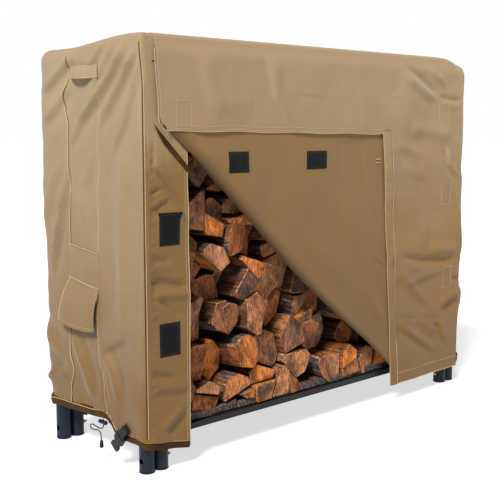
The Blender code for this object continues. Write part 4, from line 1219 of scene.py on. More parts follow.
def door_cloth(finishes):
    """Front layer, large soft roll, and the turned-back layer behind it."""
    xs = spread(-0.575, 0.218, 0.0062)
    steps = ([("front", t) for t in parts(90)]
             + [("roll", k / 14) for k in range(1, 15)] + [("back", k / 24) for k in range(1, 25)])

    def place(x, k):
        part, t = steps[round(k)]
        slim = ease(x, -0.54, -0.40) * (1 - 0.45 * ease(x, 0.10, 0.22))
        centre = roll_height(x) + 0.004 + 0.014 * slim
        front = door_front_y(x, centre)
        back = min(front + 0.006 + 0.020 * slim, DOOR_BACK_Y)
        radius = (back - front) / 2
        behind = min(0.81 + 0.142 * (x + 0.57), 0.915)
        if part == "front":
            z = DOOR_TOP + (centre - DOOR_TOP) * t
            y = door_front_y(x, z)
        elif part == "roll":
            turn = math.pi * t
            y = front + radius * (1 - math.cos(turn))
            z = centre - 1.15 * radius * math.sin(turn)
        else:
            y, z = back - 0.003 * ease(t, 0.0, 0.6), centre + (behind - centre) * t
        lean = band_lean(min(z, BAND_TOP)) * ease(x, -0.2, 0.21)
        return Vector((x + lean, y, z))

    piece = cloth("door_cloth", xs, list(range(len(steps))), place, lambda c: Vector(
        (0, -1 if c.y < -0.209 else 1, 0)), lay=lambda u, v: (u, v * 0.0065))
    finish_with(piece, *finishes)
    # Painted shade: cloth within a few centimetres above the rolled edge is marked so that the
    # canvas darkens it to deep brown.
    under = piece.data.attributes.new("turned_under", "FLOAT", "POINT")
    for vert in piece.data.vertices:
        above = (vert.co.z - roll_height(vert.co.x)) * 0.75
        under.data[vert.index].value = 0.9 * (1 - ease(above, -0.004, 0.040))
    wear(piece, "front_flap", "door_panel", slot="cover_canvas")
    return piece


def door_painted_shadow_strip(finishes):
    """A dark brown strip against the column below the door's upper left edge: painted shadow of the
    door's roll and the valance's corner, in the backing finish.
    """
    def place(u, v):
        x, z = -0.606 + 0.106 * u, DOOR_TOP - 0.104 * u
        width = 0.022 * math.sin(math.pi * min(0.5, 0.12 + u * 1.6)) * (1.0 - 0.1 * u)
        dip = 0.0012 * math.sin(math.pi * v)
        return Vector((x + 0.004 * v, -0.2155 - dip, z - 0.004 - width * v))

    piece = cloth("door_painted_shadow_strip", parts(24), parts(6), place, ahead,
                  lay=lambda u, v: (u * 0.15, v * 0.02))
    finish_with(piece, finishes[1], finishes[1])
    wear(piece, "front_flap", slot="hem_facing")


def placket(finishes):
    """The folded band beside the door: gathered by its stitching into short cross puckers."""
    def place(u, v):
        z = FLAP_FOOT + (BAND_TOP - FLAP_FOOT) * v
        x = band_left(z) + (band_right(z) - band_left(z)) * u
        pucker = noise.noise(Vector((u * 0.6, 7.0, z * 34))) * 0.0022
        pucker += noise.noise(Vector((u * 1.2, 3.0, z * 80))) * 0.0010
        crown = math.sin(math.pi * u)
        rise = 0.0030 * crown ** 0.5 + pucker * crown
        top = top_height(x, FRONT_Y)
        base = FRONT_Y - flap_proud(z, top) - flap_out(max(x, 0.24), z) * 0.6
        return Vector((x, base - 0.0016 - rise, z))

    piece = cloth("placket_cloth", parts(12), parts(240), place, ahead,
                  lay=lambda u, v: (u * 0.04, v * 0.75))
    finish_with(piece, *finishes)
    wear(piece, "front_flap", "placket_band", slot="cover_canvas")


# ------------------------------------------------------------------ logs
STACK_BOTTOM = 0.0965
COURSE_HEIGHT = 0.1415
COURSES = 6
STACK_FRONT, STACK_BACK = -0.187, 0.186
FIRST_COURSE_HALF = 0.545                # the first logs lie between the yokes


def log_centres():
    """A loose brick pattern of centres, shaken so that no rows show."""
    centres = []
    rows, columns = 9, 12
    for r in range(rows):
        for c in range(columns):
            x = -0.532 + 1.064 * (c + 0.25 + 0.5 * (r % 2)) / columns
            z = STACK_BOTTOM + 0.046 + 0.0925 * r
            centres.append(Vector((x + random.uniform(-0.030, 0.030), 0.0,
                                   z + random.uniform(-0.027, 0.027))))
    return centres


def split_log(name, planes, pith, radius, finishes, tone, reach=(0.0, 0.075), loose=1.0):
    """A round billet, split along planes, its edges broken and its faces left uneven."""
    front = STACK_FRONT + reach[0] + (reach[1] - reach[0]) * random.random() ** 1.4
    back = STACK_BACK - 0.035 * random.random()
    fresh()
    bpy.ops.mesh.primitive_cylinder_add(vertices=13, radius=radius, depth=back - front,
                                        location=(pith.x, (front + back) / 2, pith.z),
                                        rotation=(math.pi / 2, random.uniform(0, 0.4), 0))
    log = bpy.context.object
    log.name = name
    bpy.ops.object.transform_apply(location=True, rotation=True, scale=True)
    mesh = log.data
    bpy.ops.object.mode_set(mode="EDIT")
    for spot, away in planes:
        bpy.ops.mesh.select_all(action="SELECT")
        bpy.ops.mesh.bisect(plane_co=spot, plane_no=away, use_fill=True, clear_outer=True)
    bpy.ops.object.mode_set(mode="OBJECT")
    if len(mesh.polygons) < 5:
        bpy.data.objects.remove(log, do_unlink=True)
        return None
    finish_with(log, *finishes)
    for face in mesh.polygons:
        from_pith = math.hypot(face.center.x - pith.x, face.center.z - pith.z)
        if abs(face.normal.y) > 0.7:
            face.material_index = 1
        elif from_pith > radius * 0.90:
            face.material_index = 2
        else:
            face.material_index = 0
    slant = random.uniform(-0.22, 0.22) * loose, random.uniform(-0.15, 0.15) * loose
    centre = sum((vert.co for vert in mesh.vertices), Vector()) / len(mesh.vertices)
    for vert in mesh.vertices:
        if vert.co.y < centre.y:
            vert.co.y += 0.030 * (abs(slant[0]) + abs(slant[1])) + slant[0] * (
                vert.co.x - centre.x) + slant[1] * (vert.co.z - centre.z)
    bpy.ops.object.mode_set(mode="EDIT")
    bpy.ops.mesh.select_all(action="SELECT")
    # The bevel faces take the fourth finish, paler: raw fibre and a painted highlight along the
    # edges.
    bpy.ops.mesh.bevel(offset=0.0016, segments=1, affect="EDGES", material=3)
    for k in range(1, 6):
        bpy.ops.mesh.select_all(action="SELECT")
        bpy.ops.mesh.bisect(plane_co=(0, front + (back - front) * (k / 6) ** 1.5, 0),
                            plane_no=(0, 1, 0))
    bpy.ops.object.mode_set(mode="OBJECT")
    rings = mesh.uv_layers.active or mesh.uv_layers.new(name="UVMap")
    for loop in mesh.loops:
        spot = mesh.vertices[loop.vertex_index].co
        rings.data[loop.index].uv = (spot.x - pith.x, spot.z - pith.z)
    middle = sum((vert.co for vert in mesh.vertices), Vector()) / len(mesh.vertices)
    for vert in mesh.vertices:
        away = Vector((vert.co.x - middle.x, 0, vert.co.z - middle.z))
        rough = noise.noise(vert.co * 22 + Vector((tone * 40, 0, 0)))
        vert.co += away.normalized() * rough * 0.0030
        vert.co.y += 0.004 * noise.noise(vert.co * 30)
    turn = Matrix.Rotation(random.uniform(-0.28, 0.28) * loose, 4, "Y")
    turn = turn @ Matrix.Rotation(random.uniform(-0.07, 0.07) * loose, 4, "X")
    turn = turn @ Matrix.Rotation(random.uniform(-0.07, 0.07) * loose, 4, "Z")
    mesh.transform(Matrix.Translation(middle) @ turn @ Matrix.Translation(-middle))
    keep_in_rack(mesh)
    tones = mesh.attributes.new("log_tone", "FLOAT", "POINT")
    tones.data.foreach_set("value", [tone] * len(mesh.vertices))
    return log


def keep_in_rack(mesh):
    """Shift a log so that it stays behind the door and above the rails."""
    lows = [min(vert.co[k] for vert in mesh.vertices) for k in range(3)]
    highs = [max(vert.co[k] for vert in mesh.vertices) for k in range(3)]
    shift = Vector((0, max(0.0, -0.1925 - lows[1]), max(0.0, STACK_BOTTOM - lows[2])))
    shift.y -= max(0.0, highs[1] - 0.192)
    shift.z -= max(0.0, highs[2] - 0.950)
    mesh.transform(Matrix.Translation(shift))


def stack_logs(finishes):
    """Fill the rack: every centre owns a cell, and about half of the cells are split again."""
    centres = log_centres()
    courses = [[] for _ in range(COURSES)]
    number = 0
    for centre in centres:
        half = FIRST_COURSE_HALF
        if centre.z >= STACK_BOTTOM + 0.09:
            half = random.uniform(0.560, 0.580)
        planes = [(Vector((0, 0, STACK_BOTTOM)), Vector((0, 0, -1))),
                  (Vector((0, 0, random.uniform(0.905, 0.938))), Vector((0, 0, 1))),
                  (Vector((half, 0, 0)), Vector((1, 0, 0))),
                  (Vector((-half, 0, 0)), Vector((-1, 0, 0)))]
        planes = [(spot, way) for spot, way in planes if (spot - centre).dot(way) < 0.1]
        for other in centres:
            apart = other - centre
            if 0 < apart.length < 0.17:
                gap = 0.0015 + 0.0030 * random.random()
                planes.append(((centre + other) / 2 - apart.normalized() * gap,
                               apart.normalized()))
        pieces = [[]]
        if random.random() < 0.55:
            angle = random.uniform(0, math.pi)
            way = Vector((math.cos(angle), 0, math.sin(angle)))
            cut = centre + way * random.uniform(-0.012, 0.012)
            pieces = [[(cut - way * 0.0025, way)], [(cut + way * 0.0025, -way)]]
        for extra in pieces:
            angle = random.uniform(0, 2 * math.pi)
            shift = random.uniform(0.022, 0.050)
            pith = centre + Vector((math.cos(angle), 0, math.sin(angle))) * shift
            radius = random.uniform(0.066, 0.092)
            number += 1
            lowest = centre.z < STACK_BOTTOM + 0.075
            log = split_log("log_%03d" % number, planes + extra, pith, radius, finishes,
                            random.random(), reach=(-0.003, 0.012 if lowest else 0.075),
                            loose=0.3 if lowest else 1.0)
            if log:
                course = int((centre.z - STACK_BOTTOM) / COURSE_HEIGHT)
                courses[max(0, min(COURSES - 1, course))].append(log)
    courses[0] += bark_slabs(finishes)
    for k, logs in enumerate(courses):
        whole = joined(logs, "split_logs_course_%d" % (k + 1))
        smooth(whole, 32)
        wear(whole, "rack", "firewood_course_%d" % (k + 1), slot="firewood")


def bark_slabs(finishes):
    """Thin bark slabs on the rails under the first logs, side by side from end to end. They block
    light from below, and their dark bark fills the gaps under the first logs as painted shade.
    """
    slabs, left = [], -FIRST_COURSE_HALF
    while left < 0.50:
        right = min(FIRST_COURSE_HALF, left + random.uniform(0.055, 0.095))
        middle = (left + right) / 2
        planes = [(Vector((left, 0, 0)), Vector((-1, 0, 0))),
                  (Vector((right, 0, 0)), Vector((1, 0, 0))),
                  (Vector((0, 0, STACK_BOTTOM)), Vector((0, 0, -1))),
                  (Vector((middle, 0, STACK_BOTTOM + random.uniform(0.012, 0.020))),
                   Vector((random.uniform(-0.12, 0.12), 0, 1)))]
        slab = split_log("slab_%02d" % len(slabs), planes,
                         Vector((middle, 0, STACK_BOTTOM + 0.01)), 0.060, [finishes[2]] * 4,
                         random.random(), reach=(0.004, 0.010), loose=0.02)
        if slab:
            slabs.append(slab)
        left = right + 0.001
    return slabs


# ------------------------------------------------------------------ hem, facing and seams
def facing_cloth(side, stations, backing):
    """The drawcord's casing: a soft tube of facing cloth that hangs below the stitched hem."""
    def place(k, drop):
        x, y, nx, ny, a = stations[round(k)]
        hem = hem_height(x, y)
        ripples = 0.0013 * math.sin(a * 31) + 0.0007 * math.sin(a * 97)
        inset = 0.0022 - 0.0026 * math.sin(math.pi * min(1.0, drop)) + hem_draw(x, y, hem, ny)
        if drop > 1:
            inset += 0.006 * (drop - 1)
        z = hem + 0.006 - 0.0240 * min(drop, 1.0) + ripples * min(1, drop) * 0.6
        z += 0.003 * max(0.0, drop - 1)
        return Vector((x - nx * inset, y - ny * inset, z))

    drops = [0, 0.2, 0.4, 0.6, 0.8, 0.9, 1.0, 1.3, 1.7, 2.0]
    piece = cloth(side + "_hem_casing", list(range(len(stations))), drops, place,
                  lambda c: Vector((c.x, c.y * 4, 0)), lay=lambda k, d: (k * 0.005, d * 0.02),
                  thickness=0.0008)
    finish_with(piece, backing, backing)
    wear(piece, "cover", "hem_facing_" + side, slot="hem_facing")


def end_stations(sign, front_to):
    """Plan stations from the back corner round an end to a place on the front."""
    made = [(*end_plan(sign, a), a) for a in spread(END_BACK_STOP, END_FRONT_STOP[sign], 0.005)]
    for along in spread(abs(made[-1][0]), front_to, 0.005)[1:]:
        made.append((sign * along, FRONT_Y, 0.0, -1.0, made[-1][4] - 0.005))
    return made


def hem_edge_points(stations, lift):
    """The line of the hem, lifted off the cloth by a little."""
    made = []
    for x, y, nx, ny, _ in stations:
        hem = hem_height(x, y)
        out = lift - hem_draw(x, y, hem, ny)
        made.append(Vector((x + nx * out, y + ny * out, hem)))
    return made


# Lines of the two upright seams on an end wall, as (distance along the wall, height)
BACK_SEAM = [(0.104, 0.118), (0.096, 0.150), (0.074, 0.209), (0.087, 0.253), (0.084, 0.322),
             (0.087, 0.452), (0.086, 0.674), (0.080, 0.806), (0.103, 0.871), (0.080, 0.928),
             (0.076, 0.985)]
FRONT_SEAM = [(-0.055, 0.122), (-0.045, 0.180), (-0.036, 0.255), (-0.030, 0.339),
              (-0.033, 0.509), (-0.036, 0.651), (-0.049, 0.720), (-0.054, 0.890),
              (-0.053, 0.934), (-0.055, 0.985)]


def along_seam(seam, step=0.006):
    """Even (a, z) places up a seam line."""
    knots = [(height, place) for place, height in seam]
    return [(through(knots, z), z) for z in spread(knots[0][0], knots[-1][0], step)]


def end_seams(sign, thread, binding, shadow):
    """Felled upright seams, the corner seam and the light line of the hem on one end.

    Beside each light fold a dark line in the backing finish is painted shadow of the seam's groove.
    """
    side = SIDES[sign]

    def line(seam, beside, lift):
        return [on_end(sign, a + beside, z, lift) for a, z in seam]

    back, front = along_seam(BACK_SEAM), along_seam(FRONT_SEAM)
    corner = [(-0.2165 + 0.006 * ease(z, 0.90, 1.0), z) for z in spread(0.092, 0.998, 0.008)]
    hem = hem_edge_points(end_stations(sign, COLUMN_EDGE_X), 0.0001)
    rolls = [piping("seam", line(back, 0.0, 0.0003), 0.0012, binding),
             piping("seam", line(corner, 0.0, 0.0003), FINE_BINDING_RADIUS, binding),
             piping("seam", hem, FINE_BINDING_RADIUS, binding)]
    darks = [piping("seam", line(back, -0.0036, -0.0002), 0.0010, shadow),
             piping("seam", line(corner, 0.0040, -0.0001), 0.0011, shadow)]
    runs = [(line(front, beside, 0.0003), sideways(sign)) for beside in (-0.0010, 0.0010)]
    wear(joined(rolls, side + "_end_seams"), "cover", slot="cover_canvas")
    wear(joined(darks, side + "_end_seam_shadows"), "cover", slot="hem_facing")
    wear(stitching(side + "_end_stitching", runs, thread), "cover")


def column_trim(thread, binding):
    """Binding down the left column's free edge, with its row of stitches."""
    heights = spread(0.066, 0.945, 0.008)

    def line(inside, lift):
        return [column_skin(-1, -column_edge(-1, z) - inside, z) + Vector((0, -lift, 0))
                for z in heights]

    roll = piping("left_column_binding", line(0.0008, 0.0002), 0.0012, binding)
    wear(roll, "cover", slot="cover_canvas")
    rows = stitching("left_column_stitching", [(line(0.0085, 0.0003), ahead)], thread)
    wear(rows, "cover")


# Stitched outlines of the tapes behind the flap's cloth, as (left, right, bottom, top)
TAPE_BOXES = [(-0.543, -0.500, 0.806, 0.871), (0.478, 0.524, 0.817, 0.882),
              (0.500, 0.547, 0.576, 0.638), (0.511, 0.551, 0.318, 0.382)]


def flap_trim(thread, binding):
    """Light edges and stitch rows of the valance and the closed part of the flap."""
    heights = spread(0.985, 0.812, 0.006) + [0.809, 0.8065, 0.8045, 0.803, 0.802]
    edge = [on_flap(valance_left(z) + 0.0006, z, 0.0001) for z in heights]
    edge += [on_flap(x, valance_bottom(x) + 0.0006, 0.0001) for x in spread(-0.560, 0.222, 0.008)]
    hem = [on_flap(x, flap_bottom(x) + 0.001, 0.0001) for x in spread(0.282, 0.598, 0.008)]
    rolls = [piping("edge", edge, BINDING_RADIUS, binding), piping("edge", hem, 0.0012, binding)]
    for band_edge in (band_left, band_right):
        line = [on_flap(band_edge(z), z, 0.0026) for z in spread(0.056, 0.797, 0.008)]
        rolls.append(piping("edge", line, 0.0008, binding))
    wear(joined(rolls, "flap_edge_binding"), "front_flap", slot="cover_canvas")
    rows = [[on_flap(x, valance_bottom(x) + inside, 0.0004) for x in spread(-0.560, 0.240, 0.008)]
            for inside in (0.004, 0.013)]
    rows.append([on_flap(valance_left(z) + 0.008, z, 0.0004) for z in spread(0.985, 0.815, 0.006)])
    rows.append([on_flap(x, flap_bottom(x) + 0.033, 0.0005) for x in spread(0.285, 0.598, 0.008)])
    for x0, x1, z0, z1 in TAPE_BOXES:
        corners = [(x0, z0), (x1, z0 + 0.001), (x1 + 0.001, z1), (x0 - 0.001, z1), (x0, z0)]
        rows.append(sewn_ring(corners, lambda x, z: on_flap(x, z, 0.0005)))
    stitches = stitching("flap_stitching", [(row, ahead) for row in rows], thread, radius=0.0007)
    wear(stitches, "front_flap")
    tacks = [piping("tack", [Vector((x, door_front_y(x, z) - 0.0014, z))
                             for x in (0.178, 0.184, 0.190, 0.1955)], 0.0011, thread)
             for z in (0.722, 0.712)]
    wear(joined(tacks, "door_bar_tacks"), "front_flap")


# Tape patches in sight: name, CAD node, left, right, bottom, top
DOOR_PATCHES = [("door_tape_left", "door_patch_left", -0.385, -0.316, 0.701, 0.752),
                ("door_tape_right", "door_patch_right", -0.107, -0.030, 0.702, 0.749)]
COLUMN_PATCHES = [("column_tape_upper", "column_patch_upper", -0.592, -0.532, 0.540, 0.616),
                  ("column_tape_lower", "column_patch_lower", -0.594, -0.534, 0.280, 0.358)]


def tape_patch(name, node, x0, x1, z0, z1, surface, body, under, tape, grey_thread):
    """A rectangle of loop tape sewn on all round, its edges pressed into the pile."""
    def place(u, v):
        x, z = x0 + (x1 - x0) * u, z0 + (z1 - z0) * v
        edge = min(u * (x1 - x0), (1 - u) * (x1 - x0), v * (z1 - z0), (1 - v) * (z1 - z0))
        rise = 0.0009 + 0.0010 * ease(edge, 0.001, 0.004)
        rise -= 0.0007 * math.exp(-((edge - 0.0042) / 0.0012) ** 2)
        return Vector((x, surface(x, z) - rise, z))

    piece = cloth(name, parts(30), parts(30), place, ahead, thickness=0.0008,
                  lay=lambda u, v: (u * 0.07, v * 0.07))
    finish_with(piece, tape, tape)
    wear(piece, body, node, slot="hook_and_loop")
    inset = 0.0042
    left, right, bottom, top = x0 + inset, x1 - inset, z0 + inset, z1 - inset
    ring = sewn_ring([(left, bottom), (right, bottom), (right, top), (left, top), (left, bottom)],
                     lambda x, z: Vector((x, surface(x, z) - 0.0016, z)))
    rows = stitching(name + "_stitching", [(ring, ahead)], grey_thread, length=0.0030,
                     gap=0.0014, radius=0.0004)
    wear(rows, body)


# ------------------------------------------------------------------ vents and handles
HOOD_BOTTOM, HOOD_CREASE, HOOD_TOP = 0.326, 0.434, 0.514
HOOD_PROFILE = [(HOOD_BOTTOM, 0.0260), (0.345, 0.0258), (0.370, 0.0255), (0.395, 0.0240),
                (0.415, 0.0170), (0.428, 0.0080), (HOOD_CREASE, 0.0060), (0.446, 0.0095),
                (0.475, 0.0080), (0.500, 0.0035), (HOOD_TOP, 0.0006)]


def vent_hood_cloth(sign, finishes, thread, binding, mesh_cloth):
    """A hood that stands out over its patch of mesh, creased where it starts to flare."""
    side = SIDES[sign]

    def place(u, z):
        out = through(HOOD_PROFILE, z)
        flare = 0.022 * ease(0.46 - z, 0.0, 0.13)
        y = 0.084 + flare - (0.120 + flare) * u
        sag = (0.008 * math.sin(math.pi * u) - 0.004 * u) * ease(0.44 - z, 0.0, 0.1)
        pinch = 1.0 - 0.85 * math.exp(-((1 - u) / 0.06) ** 2) * ease(z, 0.39, HOOD_CREASE)
        curl = 1.0 - 0.55 * u ** 2 - 0.25 * (1 - u) ** 4
        wave = 0.0035 * math.sin(u * 7 + 1) * ease(0.43 - z, 0.0, 0.08)
        slant = 0.016 * (u - 0.5)
        base = on_end(sign, y, z)
        off = max(0.0008, out * curl * pinch + wave)
        return Vector((base.x + sign * off, base.y, z - sag - slant))

    def line(count, z, out, up=0.0):
        return [place(u, z) + Vector((sign * out, 0, up)) for u in parts(count)]

    piece = cloth("vent_hood_cloth_" + side, parts(40), spread(HOOD_BOTTOM, HOOD_TOP, 0.0045),
                  place, sideways(sign), lay=lambda u, v: (u * 0.12, v))
    finish_with(piece, *finishes)
    body = "vent_" + side
    wear(piece, body, "vent_hood_" + side, slot="cover_canvas")
    front = [place(0.0, z) for z in spread(HOOD_BOTTOM, 0.44, 0.006)]
    edges = [piping("edge", front, BINDING_RADIUS, binding),
             piping("edge", line(24, HOOD_CREASE, 0.0004), BINDING_RADIUS, binding)]
    wear(joined(edges, "vent_hood_edges_" + side), body, slot="cover_canvas")
    top_seam = piping("vent_hood_top_seam_" + side, line(24, HOOD_TOP, 0.0008, 0.0026),
                      BINDING_RADIUS, binding)
    wear(top_seam, "cover", slot="cover_canvas")
    rows = [(line(30, 0.334, 0.0003), sideways(sign))]
    wear(stitching("vent_hood_stitching_" + side, rows, thread), body)

    def mesh_place(u, v):
        return on_end(sign, 0.074 - 0.098 * u, 0.372 + 0.105 * v, 0.0010)

    net = cloth("vent_mesh_" + side, parts(16), parts(16), mesh_place, sideways(sign),
                thickness=0.0006, lay=lambda u, v: (u * 0.1, v * 0.1))
    finish_with(net, mesh_cloth, mesh_cloth)
    wear(net, "cover", slot="black_webbing")


def handle_cloth(sign, finishes, thread, binding):
    """A padded strap bowed out from the wall, tipped outwards along its lower edge."""
    side = SIDES[sign]

    def place(u, v):
        bow = 0.010 * math.sin(math.pi * min(1.0, max(0.0, (u - 0.08) / 0.84))) ** 0.8
        tilt = 0.005 * math.sin(math.pi * u) * (1 - v)
        z = 0.929 + 0.028 * v - 0.35 * bow + 0.004 * (0.5 - u)
        y = 0.079 - 0.134 * u
        base = on_end(sign, y, 0.943)
        plump = 0.0012 * math.sin(math.pi * v)
        crease = 0.0008 * math.sin(u * 60) * math.sin(math.pi * v) * math.sin(math.pi * u)
        return Vector((base.x + sign * (0.0010 + bow + tilt + plump + crease), y, z))

    piece = cloth("handle_cloth_" + side, parts(48), parts(10), place, sideways(sign),
                  thickness=0.0016, lay=lambda u, v: (u * 0.13, v * 0.028))
    finish_with(piece, *finishes)
    body = "handle_" + side
    wear(piece, body, "grab_handle_" + side, slot="cover_canvas")
    edges = [piping("edge", [place(u, v) for u in parts(40)], BINDING_RADIUS, binding)
             for v in (0.0, 1.0)]
    edges += [piping("edge", [place(u, v) + Vector((sign * 0.0006, 0, 0)) for v in parts(8)],
                     FINE_BINDING_RADIUS, binding) for u in (0.015, 0.985)]
    wear(joined(edges, "handle_edges_" + side), body, slot="cover_canvas")
    rows = [([place(u, v) + Vector((sign * 0.0003, 0, 0)) for u in parts(30)], sideways(sign))
            for v in (0.16, 0.84)]
    wear(stitching("handle_stitching_" + side, rows, thread, radius=0.0004), body)


# ------------------------------------------------------------------ buckle strap
BUCKLE_ANCHOR = (-0.130, 0.088)
BUCKLE_TILT = math.radians(40)
BUCKLE_BACK_X = 0.6440
BUCKLE_THICK = 0.0060
WEBBING_WIDTH, WEBBING_THICK = 0.023, 0.0012


def buckle_place(across, along):
    """(y, z) of a place across and down the tilted strap."""
    y = BUCKLE_ANCHOR[0] + along * math.sin(BUCKLE_TILT) + across * math.cos(BUCKLE_TILT)
    z = BUCKLE_ANCHOR[1] - along * math.cos(BUCKLE_TILT) + across * math.sin(BUCKLE_TILT)
    return y, z


def strap_webbing(sign, finish):
    """The webbing comes down behind the buckle, turns through its slot and lies back over it."""
    side = SIDES[sign]
    back = BUCKLE_BACK_X - WEBBING_THICK
    front = BUCKLE_BACK_X + BUCKLE_THICK + WEBBING_THICK
    middle, reach = (back + front) / 2, (front - back) / 2
    path = [(-0.030 + 0.034 * t, back) for t in parts(8)]
    path += [(0.0045 + reach * 0.55 * math.sin(math.pi * t), middle - reach * math.cos(math.pi * t))
             for t in parts(9)[1:-1]]
    path += [(0.004 - 0.028 * t, front - 0.0027 * t ** 2) for t in parts(10)]

    def place(u, k):
        along, out = path[round(k)]
        y, z = buckle_place(WEBBING_WIDTH * (u - 0.5), along)
        edge = 0.0003 * (1 - math.sin(math.pi * u) ** 0.3)
        return Vector((sign * (out - edge), y, z))

    piece = cloth("strap_webbing_" + side, parts(12), list(range(len(path))), place,
                  sideways(sign), thickness=WEBBING_THICK,
                  lay=lambda u, k: (u * WEBBING_WIDTH, k * 0.0035))
    finish_with(piece, finish, finish)
    wear(piece, "strap_" + side, "buckle_strap_" + side, slot="black_webbing")


# ------------------------------------------------------------------ camera, cord, light, floor
CORD_DIAMETER = 0.0028
CORD_ROUTE = [(-0.6395, -0.0445, 0.1062), (-0.6395, -0.0445, 0.0990), (-0.6395, -0.0444, 0.0900),
              (-0.6396, -0.0400, 0.0825), (-0.6402, -0.0300, 0.0795), (-0.6410, -0.0160, 0.0815),
              (-0.6418, -0.0030, 0.0838), (-0.6425, 0.0055, 0.0815), (-0.6430, 0.0062, 0.0755),
              (-0.6436, -0.0020, 0.0725), (-0.6442, -0.0150, 0.0738), (-0.6446, -0.0270, 0.0755),
              (-0.6444, -0.0350, 0.0735), (-0.6438, -0.0385, 0.0670), (-0.6434, -0.0395, 0.0580),
              (-0.6432, -0.0398, 0.0460)]


CAMERA_PLACE = (-1.941, -1.917, 0.809)
CAMERA_HEADING = (0.6930, 0.7209)
CAMERA_PITCH = math.radians(7.35)
CAMERA_LENS = 68.4


def stand_camera():
    """At waist height off the left front corner, looking slightly down."""
    fresh()
    bpy.ops.object.camera_add(location=CAMERA_PLACE)
    camera = bpy.context.object
    level = math.cos(CAMERA_PITCH)
    sight = Vector((CAMERA_HEADING[0] * level, CAMERA_HEADING[1] * level, -math.sin(CAMERA_PITCH)))
    camera.rotation_mode = "QUATERNION"
    camera.rotation_quaternion = sight.to_track_quat("-Z", "Y")
    camera.data.lens = CAMERA_LENS
    bpy.context.scene.camera = camera


def smooth_route(points, per_span):
    """Catmull-Rom points through the route's own points."""
    ends = [2 * Vector(points[0]) - Vector(points[1])]
    ends += [Vector(p) for p in points] + [2 * Vector(points[-1]) - Vector(points[-2])]
    made = []
    for a, b, c, d in zip(ends, ends[1:], ends[2:], ends[3:]):
        for k in range(per_span):
            t = k / per_span
            made.append(0.5 * (2 * b + (c - a) * t + (2 * a - 5 * b + 4 * c - d) * t * t
                               + (3 * b - a - 3 * c + d) * t ** 3))
    made.append(ends[-2])
    return made


def lay_drawcord(finish):
    """The cord's free end hangs from its lock in two slack waves down to the bell."""
    fresh()
    route = smooth_route(CORD_ROUTE, 4)
    cord = round_line("drawcord_braid", route, CORD_DIAMETER / 2, 4)
    cord.data.materials.append(finish)
    wear(cord, "cover", "drawcord", slot="black_webbing")


def lock_spring(finish):
    """Four turns of 0.6 mm wire, drawn at rest; on the real lock they close up as the plunger is
    pressed.
    """
    back, front, x, z = -0.0533, -0.0489, -0.6395, 0.0978
    points = [Vector((x + 0.0025 * math.cos(8 * math.pi * t), back + (front - back) * t,
                      z + 0.0025 * math.sin(8 * math.pi * t))) for t in parts(60)]
    spring = piping("lock_spring_coil", points, 0.0003, finish)
    wear(spring, "cover", "cord_lock_spring", slot="zinc_steel")
    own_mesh(spring)


KEY_ENERGY = 6.2
KEY_SOFTNESS = math.radians(14)
KEY_DIRECTION = (0.62, 0.30, -0.725)


def light_studio():
    """A white room: the backdrop is lit brighter than the room, a soft key hangs high."""
    world = bpy.data.worlds.new("white_room")
    world.use_nodes = True
    tree = world.node_tree
    ray = add(tree, "ShaderNodeLightPath")
    level = add(tree, "ShaderNodeMapRange", {"Value": (ray, "Is Camera Ray"), "To Min": 0.25,
                                             "To Max": 1.0})
    tree.nodes["Background"].inputs["Color"].default_value = (1.0, 1.0, 1.0, 1.0)
    connect(tree, level, "Result", tree.nodes["Background"], "Strength")
    bpy.context.scene.world = world
    bpy.context.scene.view_settings.view_transform = "Standard"
    fresh()
    bpy.ops.object.light_add(type="SUN")
    key = bpy.context.object
    key.name = "high_soft_key"
    key.data.energy = KEY_ENERGY
    key.data.angle = KEY_SOFTNESS
    key.rotation_mode = "QUATERNION"
    key.rotation_quaternion = Vector(KEY_DIRECTION).to_track_quat("-Z", "Y")


def lay_floor():
    """A floor wide enough to run out of sight behind the rack."""
    fresh()
    bpy.ops.mesh.primitive_plane_add(size=120.0)
    floor = bpy.context.object
    floor.name = "studio_floor"
    finish_with(floor, pale_floor())


def refinish_cad_nodes(zinc):
    """The rigid nodes keep their CAD shape and take these finishes."""
    navy = powder_coat("navy_powder_coat", "#080D1A", "#131A2C")
    charcoal = powder_coat("charcoal_powder_coat", "#0A0A0B", "#18191A")
    plug = moulded_plastic("black_foot_plug_plastic", "#060709", "#101216", 0.5)
    acetal = moulded_plastic("black_acetal", "#050506", "#0E0F11", 0.42)
    for name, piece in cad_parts.items():
        if name.startswith(("end_arch", "base_yoke")):
            finish = navy
        elif name.endswith("_rail") or name.startswith("cross_slat"):
            finish = charcoal
        elif "_foot_" in name:
            finish = plug
        elif name.startswith("leg_"):
            finish = zinc
        elif name in ("buckle_left", "buckle_right", "cord_lock_barrel", "cord_lock_plunger",
                      "cord_bell"):
            finish = acetal
        else:
            continue
        for slot in piece.material_slots:
            slot.material = finish


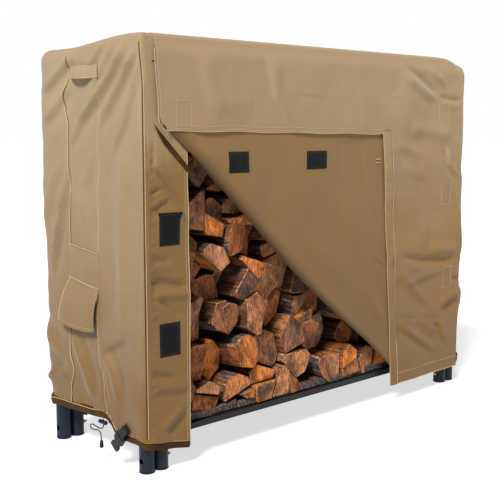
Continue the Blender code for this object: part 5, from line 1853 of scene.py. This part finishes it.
def build():
    """Camera and cord first, then the cloth, its trimmings, the logs, the lock and the room."""
    stand_camera()
    lay_drawcord(braided_cord())
    # Four copies of one tan cloth, each tuned paler or darker for the light its part gets: painted
    # light and shade. The door's copy is darker for the shade it hangs in behind the valance; the
    # column's copy is paler above 0.8 m and darker below 0.7 m.
    end_canvas = oxford_canvas("tan_oxford_end_canvas", "#8A765A", "#776245", "#61451E")
    front_canvas = oxford_canvas("tan_oxford_front_canvas", "#947C5C", "#7E5F31", "#694B1C")
    shade_tuned_column_canvas = oxford_canvas("tan_oxford_column_canvas", "#917854", "#74572A", "#6C4F22",
                                  levels=(0.12, 0.70, 0.80))
    shade_tuned_door_canvas = oxford_canvas("tan_oxford_door_canvas", "#7D6034", "#725326", "#624517")
    backing = brown_backing()
    thread = sewing_thread()
    binding = edge_binding()
    tape = loop_tape()
    grey_thread = moulded_plastic("grey_tape_thread", "#2A2D30", "#5A5E62", 0.7)
    ribbed = webbing()
    mesh_cloth = vent_mesh_cloth()
    end_sides = (end_canvas, backing)
    front_sides = (front_canvas, backing)
    end_cloth(-1, end_sides, shade_tuned_column_canvas)
    end_cloth(1, end_sides, front_canvas)
    back_cloth(end_sides)
    column_cloth(-1, (shade_tuned_column_canvas, backing))
    column_cloth(1, (shade_tuned_column_canvas, backing))
    header_cloth(front_sides)
    top_cloth(end_sides)
    flap_cloth(front_sides)
    door_cloth((shade_tuned_door_canvas, backing))
    door_painted_shadow_strip(front_sides)
    placket(front_sides)
    back_run = [(x, BACK_Y, 0.0, 1.0, x) for x in spread(0.584, -0.584, 0.006)]
    facing_cloth("left", end_stations(-1, COLUMN_EDGE_X), backing)
    facing_cloth("right", end_stations(1, COLUMN_EDGE_X), backing)
    facing_cloth("back", back_run, backing)
    for sign in (-1, 1):
        end_seams(sign, thread, binding, backing)
        vent_hood_cloth(sign, end_sides, thread, binding, mesh_cloth)
        handle_cloth(sign, end_sides, thread, binding)
        strap_webbing(sign, ribbed)
    column_trim(thread, binding)
    flap_trim(thread, binding)
    for patch in DOOR_PATCHES:
        tape_patch(*patch, door_front_y, "front_flap", "front_flap_cloth", tape, grey_thread)
    for patch in COLUMN_PATCHES:
        tape_patch(*patch, lambda x, z: column_skin(-1, x, z).y, "cover", "left_column_cloth",
                   tape, grey_thread)
    stack_logs((split_face(), sawn_end(), log_bark(), fibre_and_highlight_edge()))
    zinc = zinc_plate()
    lock_spring(zinc)
    refinish_cad_nodes(zinc)
    light_studio()
    lay_floor()


build()
